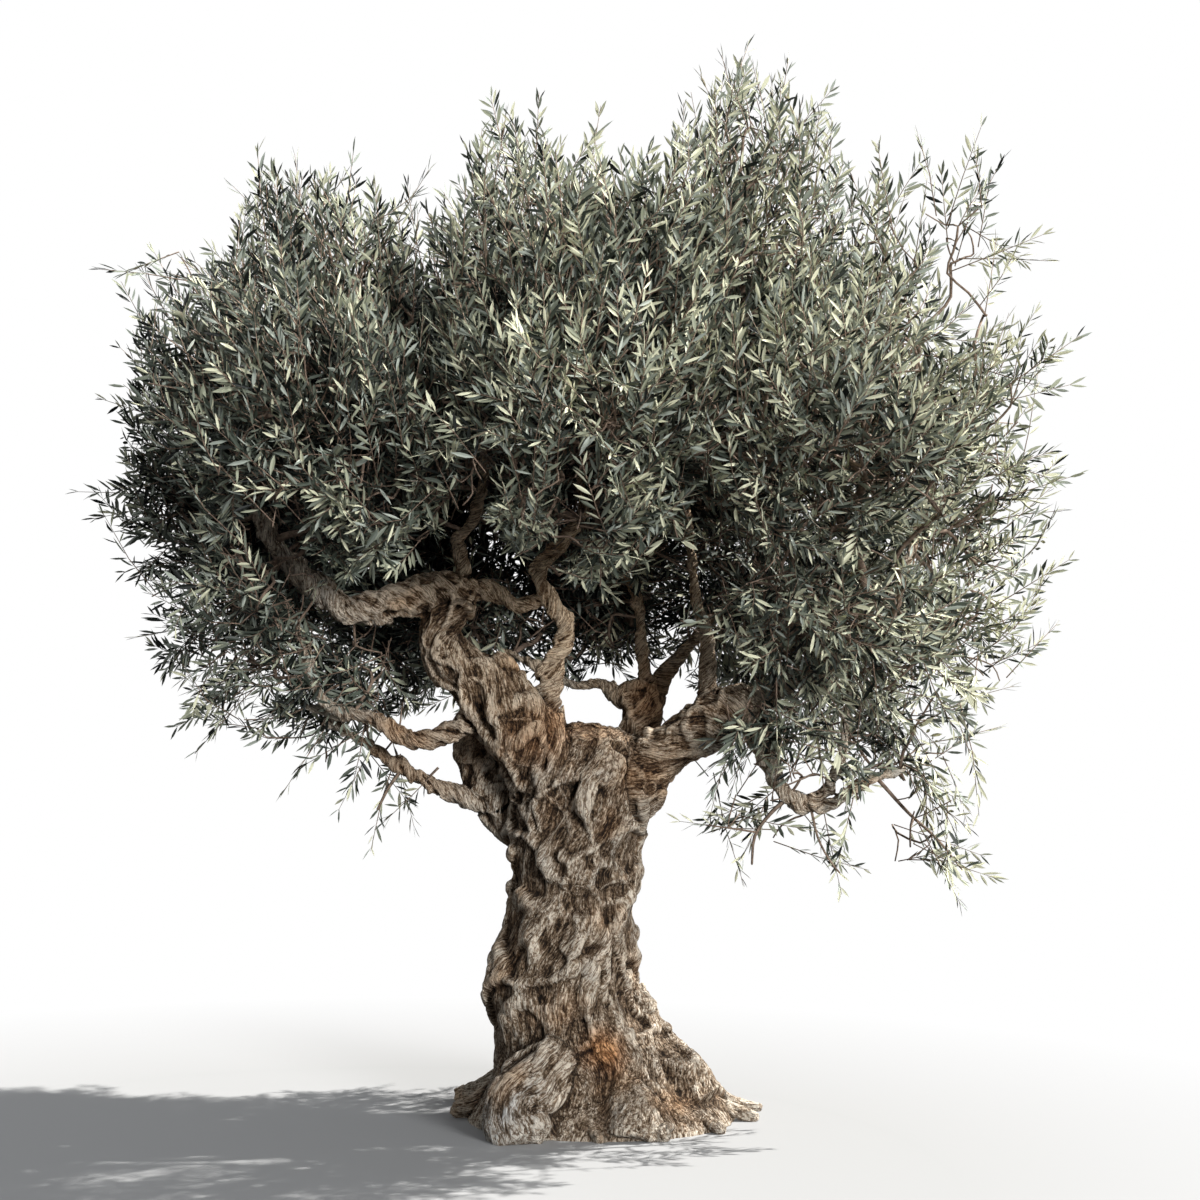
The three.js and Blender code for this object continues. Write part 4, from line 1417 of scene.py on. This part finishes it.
def deal_tints(rng, shoots, buried, owner, share):
    """A tint number for every leaf, dealt mostly by shoot: lighter by painted sunlight towards the right and
    by painted light on the middle of the front, lighter at the tip of its shoot, black by painted shade where
    it is buried in the crown, with many leaves darker than their shoot as painted shade and some turned to
    their silvery underside."""
    middles = shoots.feet + 0.5 * shoots.ways * shoots.lengths[:, None]
    height = (middles[:, 2] - 2.3) / 1.5
    # painted sunlight towards the right and painted light on the middle of the front
    painted_sunlight = middles[:, 0] / 1.8
    front = np.exp(-(middles[:, 0] / FRONT_BREADTH) ** 2) * (middles[:, 1] < FRONT_FROM)
    level = TINT_IN_THE_OPEN + TINT_UPWARDS * height + TINT_PAINTED_SUNLIGHT * painted_sunlight
    # painted shade where a shoot is buried in the crown
    level = level + TINT_PAINTED_BURIED_SHADE * np.minimum(buried / BURIED_FULL, 1.0) + TINT_PAINTED_FRONT_LIGHT * front
    level = level + rng.normal(0, SHOOT_SCATTER, len(middles))
    level = level[owner] + TINT_OUTWARDS * (share - 0.5) + rng.normal(0, LEAF_SCATTER, len(owner))
    # painted shade on a share of the leaves
    level -= PAINTED_SHADE_DROP * (rng.random(len(owner)) < PAINTED_SHADE_SHARE)
    tint = np.clip(np.round(level), 0, PAINTED_SUN_CREAM).astype(int)
    turned = (rng.random(len(owner)) < SILVER_SHARE) & (tint > 1) & (tint < PAINTED_SUN_CREAM)
    return np.where(turned, SILVER, tint)


def make_crown(limbs, materials):
    """Branches, twigs and the leaves of each region."""
    rng = np.random.default_rng(2024)
    shoots = sow_shoots(rng)
    vertices, walls, caps = many_tubes(*grow_branches(rng, limbs, shoots.feet), BRANCH_SIDES)
    branches = make_piece("branches", vertices, [walls, caps], [materials["branch"]])
    vertices, walls, caps = shoot_stems(shoots)
    twigs = make_piece("twigs", vertices, [walls, caps], [materials["twig"]])
    buried = how_buried(shoots)
    leaf_pieces = []
    for number, name in enumerate(REGIONS):
        chosen = shoots.regions == number
        mine = Shoots(*(column[chosen] for column in shoots))
        leaves, owner, share = leaf_meshes(rng, mine)
        tint = deal_tints(rng, mine, buried[chosen], owner, share)
        faces = (np.arange(len(leaves))[:, None, None] * len(LEAF_OUTLINE) + LEAF_FACES).reshape(-1, 3)
        tints = np.repeat(tint, len(LEAF_FACES))
        piece = make_piece(name, leaves.reshape(-1, 3), [faces], materials["leaves"], False, tints)
        leaf_pieces.append(piece)
    return branches, twigs, leaf_pieces


# ------------------------------------------------------------------ materials

def new_material(name):
    """An empty material with its node tree and shader."""
    material = bpy.data.materials.new(name)
    material.use_nodes = True
    tree = material.node_tree
    return material, tree, tree.nodes["Principled BSDF"]


def add_node(tree, kind, **values):
    """A node of a kind, with named settings and inputs."""
    node = tree.nodes.new(kind)
    for key, value in values.items():
        if hasattr(node, key):
            setattr(node, key, value)
        else:
            node.inputs[key.replace("_", " ").title()].default_value = value
    return node


def ramp(tree, stops):
    """A colour ramp with (place, colour) stops."""
    node = tree.nodes.new("ShaderNodeValToRGB")
    elements = node.color_ramp.elements
    while len(elements) < len(stops):
        elements.new(0.5)
    for element, (place, colour) in zip(elements, stops):
        element.position = place
        element.color = (*colour, 1.0)
    return node


def spread(tree, source, low, high, to_low, to_high):
    """A value mapped from one range to another."""
    node = tree.nodes.new("ShaderNodeMapRange")
    for name, value in zip(("From Min", "From Max", "To Min", "To Max"), (low, high, to_low, to_high)):
        node.inputs[name].default_value = value
    tree.links.new(source, node.inputs["Value"])
    return node.outputs["Result"]


def noise_at(tree, place, **settings):
    """A noise texture read at a place."""
    texture = add_node(tree, "ShaderNodeTexNoise", **settings)
    tree.links.new(place, texture.inputs["Vector"])
    return texture.outputs["Fac"]


def far_from(tree, place, middle):
    """The distance of a place from a fixed one."""
    away = add_node(tree, "ShaderNodeVectorMath", operation="DISTANCE")
    away.inputs[1].default_value = middle
    tree.links.new(place, away.inputs[0])
    return away.outputs["Value"]


def add_bump(tree, shader, height, strength, distance):
    """Puts a bump of a height on a shader."""
    bump = add_node(tree, "ShaderNodeBump", Strength=strength, Distance=distance)
    tree.links.new(height, bump.inputs["Height"])
    tree.links.new(bump.outputs["Normal"], shader.inputs["Normal"])


def added(tree, a, b):
    """The sum of two values."""
    node = tree.nodes.new("ShaderNodeMath")
    tree.links.new(a, node.inputs[0])
    tree.links.new(b, node.inputs[1])
    return node.outputs["Value"]


def stained_or_shaded(tree, colour, share, stain_or_shade):
    """A colour multiplied by a stain, or by painted shade, where the share is high."""
    node = tree.nodes.new("ShaderNodeMix")
    node.data_type = "RGBA"
    node.blend_type = "MULTIPLY"
    node.inputs["B"].default_value = (*stain_or_shade, 1.0)
    tree.links.new(share, node.inputs["Factor"])
    tree.links.new(colour, node.inputs["A"])
    return node.outputs["Result"]


def bark_material():
    """Weathered olive bark: clefts darkened partly by painted shade, brown flanks and pale ropes, broken up
    by fibres and streaks along the limb, dark creases and grit, with rusty and grey patches and the stains of
    the wood's list, the last of them partly painted shade on the stump's cut. The bump has fibres and grit."""
    material, tree, shader = new_material("olive_bark")
    rope = add_node(tree, "ShaderNodeAttribute", attribute_name="rope").outputs["Fac"]
    grain = add_node(tree, "ShaderNodeAttribute", attribute_name="grain").outputs["Vector"]
    place = tree.nodes.new("ShaderNodeTexCoord").outputs["Object"]
    stretch = tree.nodes.new("ShaderNodeMapping")
    stretch.inputs["Scale"].default_value = (1.0, 1.0, BARK_STRETCH)
    tree.links.new(grain, stretch.inputs["Vector"])
    along = stretch.outputs["Vector"]
    fibres = noise_at(tree, along, Scale=108.0, Detail=3.0, Roughness=0.6, Distortion=1.2)
    streaks = noise_at(tree, along, Scale=38.0, Detail=4.0, Roughness=0.65, Distortion=0.8)
    creases = noise_at(tree, along, Scale=34.0, Detail=5.0, Roughness=0.6, Distortion=1.6)
    grit = noise_at(tree, place, Scale=85.0, Detail=4.0, Roughness=0.7)
    patches = noise_at(tree, place, Scale=4.5, Detail=3.0)
    blotches = noise_at(tree, place, Scale=7.5, Detail=3.0)

    # the level runs from the clefts, darker partly as painted shade, to the pale ropes
    level = spread(tree, rope, 0.02, 0.98, CLEFT_LEVEL, ROPE_LEVEL)
    for source, half in ((fibres, 0.22), (streaks, 0.09), (grit, 0.14)):
        level = added(tree, level, spread(tree, source, 0.41, 0.59, -half, half))
    colours = ramp(tree, BARK_COLOURS_AND_CLEFT_SHADE)
    tree.links.new(level, colours.inputs["Fac"])
    crease = add_node(tree, "ShaderNodeMath", operation="SUBTRACT")
    crease.inputs[1].default_value = 0.5
    tree.links.new(creases, crease.inputs[0])
    narrow = add_node(tree, "ShaderNodeMath", operation="ABSOLUTE")
    tree.links.new(crease.outputs["Value"], narrow.inputs[0])
    line = spread(tree, narrow.outputs["Value"], 0.010, 0.042, 0.90, 0.0)
    rusty = spread(tree, patches, 0.54, 0.72, 0.0, 0.7)
    grey = spread(tree, blotches, 0.55, 0.72, 0.0, 0.8)
    colour = stained_or_shaded(tree, colours.outputs["Color"], line, CREASE_STAIN)
    colour = stained_or_shaded(tree, colour, rusty, RUST_STAIN)
    colour = stained_or_shaded(tree, colour, grey, GREY_STAIN)
    # stains, and on the stump's cut partly painted shade
    for spot, reach, stain_or_shade in STAINS_AND_STUMP_SHADE:
        share = spread(tree, far_from(tree, place, spot), 0.35 * reach, reach, 0.9, 0.0)
        colour = stained_or_shaded(tree, colour, share, stain_or_shade)
    tree.links.new(colour, shader.inputs["Base Color"])
    shader.inputs["Roughness"].default_value = 0.88
    shader.inputs["Specular IOR Level"].default_value = 0.25
    rough = added(tree, fibres, spread(tree, grit, 0, 1, 0, 0.6))
    add_bump(tree, shader, rough, 1.0, BARK_BUMP)
    return material


def twig_material(name, stops):
    """Thin grey-brown bark, speckled along the twig."""
    material, tree, shader = new_material(name)
    place = tree.nodes.new("ShaderNodeTexCoord").outputs["Object"]
    speckle = noise_at(tree, place, Scale=70.0, Detail=4.0)
    colours = ramp(tree, stops)
    tree.links.new(speckle, colours.inputs["Fac"])
    tree.links.new(colours.outputs["Color"], shader.inputs["Base Color"])
    shader.inputs["Roughness"].default_value = 0.85
    add_bump(tree, shader, speckle, 0.5, 0.002)
    return material


def leaf_material(number, colour):
    """A leathery leaf of one plain colour, with faint veins in its bump and uneven gloss."""
    material, tree, shader = new_material(f"olive_leaf_{number}")
    shader.inputs["Base Color"].default_value = (*colour, 1.0)
    shader.inputs["Specular IOR Level"].default_value = 0.28
    place = tree.nodes.new("ShaderNodeTexCoord").outputs["Object"]
    veins = noise_at(tree, place, Scale=260.0, Detail=2.0)
    tree.links.new(spread(tree, veins, 0.0, 1.0, 0.40, 0.62), shader.inputs["Roughness"])
    add_bump(tree, shader, veins, 0.25, 0.001)
    return material


# ------------------------------------------------------------------ stage, light and camera

def floor_material():
    """A pale floor that glows, as painted light, more and more with the distance from the tree until it is as
    white as the background.
    """
    material, tree, shader = new_material("floor_white")
    shader.inputs["Base Color"].default_value = (FLOOR_GREY, FLOOR_GREY, FLOOR_GREY, 1.0)
    shader.inputs["Roughness"].default_value = 0.9
    shader.inputs["Specular IOR Level"].default_value = 0.1
    away = far_from(tree, tree.nodes.new("ShaderNodeTexCoord").outputs["Object"], FLOOR_MIDDLE)
    # painted glow that lifts the far floor to white
    white = add_node(tree, "ShaderNodeEmission", Strength=1.0)
    blend = tree.nodes.new("ShaderNodeMixShader")
    tree.links.new(spread(tree, away, *FLOOR_FADE, 0.0, 1.0), blend.inputs["Fac"])
    tree.links.new(shader.outputs["BSDF"], blend.inputs[1])
    tree.links.new(white.outputs["Emission"], blend.inputs[2])
    tree.links.new(blend.outputs["Shader"], tree.nodes["Material Output"].inputs["Surface"])
    return material


def make_lamp(name, way, energy, width, colour):
    """A far lamp that shines along `way`. The wider it is in degrees, the softer its shadows."""
    lamp = bpy.data.lights.new(name, "SUN")
    lamp.energy = energy
    lamp.angle = math.radians(width)
    lamp.color = colour
    holder = bpy.data.objects.new(name, lamp)
    holder.rotation_euler = Vector(way).to_track_quat("-Z", "Y").to_euler()
    bpy.context.scene.collection.objects.link(holder)


def make_floor():
    """A wide pale floor that throws no light back at the tree."""
    mesh = bpy.data.meshes.new("floor")
    corners = [(x * FLOOR_HALF, y * FLOOR_HALF, 0) for x, y in ((-1, -1), (1, -1), (1, 1), (-1, 1))]
    mesh.from_pydata(corners, [], [(0, 1, 2, 3)])
    mesh.materials.append(floor_material())
    floor = bpy.data.objects.new("floor", mesh)
    floor.visible_diffuse = False
    floor.visible_glossy = False
    bpy.context.scene.collection.objects.link(floor)


def make_sky():
    """A background that is white to look at, and whose light is soft and bluish, stronger from above."""
    world = bpy.data.worlds.new("sky")
    bpy.context.scene.world = world
    world.use_nodes = True
    tree = world.node_tree
    soft = tree.nodes["Background"]
    soft.inputs["Color"].default_value = SKY_COLOUR
    way = tree.nodes.new("ShaderNodeSeparateXYZ")
    tree.links.new(tree.nodes.new("ShaderNodeTexCoord").outputs["Generated"], way.inputs["Vector"])
    strength = spread(tree, way.outputs["Z"], -HORIZON, HORIZON, GROUND_STRENGTH, SKY_STRENGTH)
    tree.links.new(strength, soft.inputs["Strength"])
    white = add_node(tree, "ShaderNodeBackground", Strength=1.0)
    white.inputs["Color"].default_value = WHITE
    seen = tree.nodes.new("ShaderNodeLightPath")
    blend = tree.nodes.new("ShaderNodeMixShader")
    tree.links.new(seen.outputs["Is Camera Ray"], blend.inputs["Fac"])
    tree.links.new(soft.outputs["Background"], blend.inputs[1])
    tree.links.new(white.outputs["Background"], blend.inputs[2])
    tree.links.new(blend.outputs["Shader"], tree.nodes["World Output"].inputs["Surface"])


def make_camera():
    """The camera in front of the tree, at head height, tilted up a little."""
    camera = bpy.data.objects.new("camera", bpy.data.cameras.new("camera"))
    camera.data.lens = CAMERA_LENS
    camera.data.sensor_width = CAMERA_SENSOR
    camera.location = CAMERA_PLACE
    camera.rotation_euler = (math.radians(90 + CAMERA_TILT), 0, 0)
    bpy.context.scene.collection.objects.link(camera)
    bpy.context.scene.camera = camera


# ------------------------------------------------------------------ the tree

bpy.context.scene.view_settings.view_transform = "Standard"
make_camera()
make_floor()
make_sky()
make_lamp("sun", SUN_WAY, SUN_ENERGY, SUN_WIDTH, SUN_COLOUR)
make_lamp("fill", FILL_WAY, FILL_ENERGY, FILL_WIDTH, FILL_COLOUR)
limbs = make_limbs()
wood = make_wood(limbs, [bark_material()])
branches, twigs, leaves = make_crown(limbs, {
    "branch": twig_material("branch_bark", BRANCH_COLOURS),
    "twig": twig_material("twig_bark", TWIG_COLOURS),
    "leaves": [leaf_material(number, colour) for number, colour in enumerate(LEAF_TINTS_PAINTED_SHADE_TO_SUN)],
})

bough_nodes = [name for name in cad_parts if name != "trunk" and not name.startswith("foliage_")]
left_nodes = [name for name in bough_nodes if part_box(name)[1].x < 0.1]
right_nodes = [name for name in bough_nodes if name not in left_nodes]
for piece in [*wood.values(), branches, twigs]:
    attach(piece, BODY)
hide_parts("trunk")
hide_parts(*left_nodes)
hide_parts(*right_nodes)
for piece, names in zip(leaves, REGIONS.values()):
    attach(piece, BODY)
    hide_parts(*[f"foliage_{name}" for name in names])
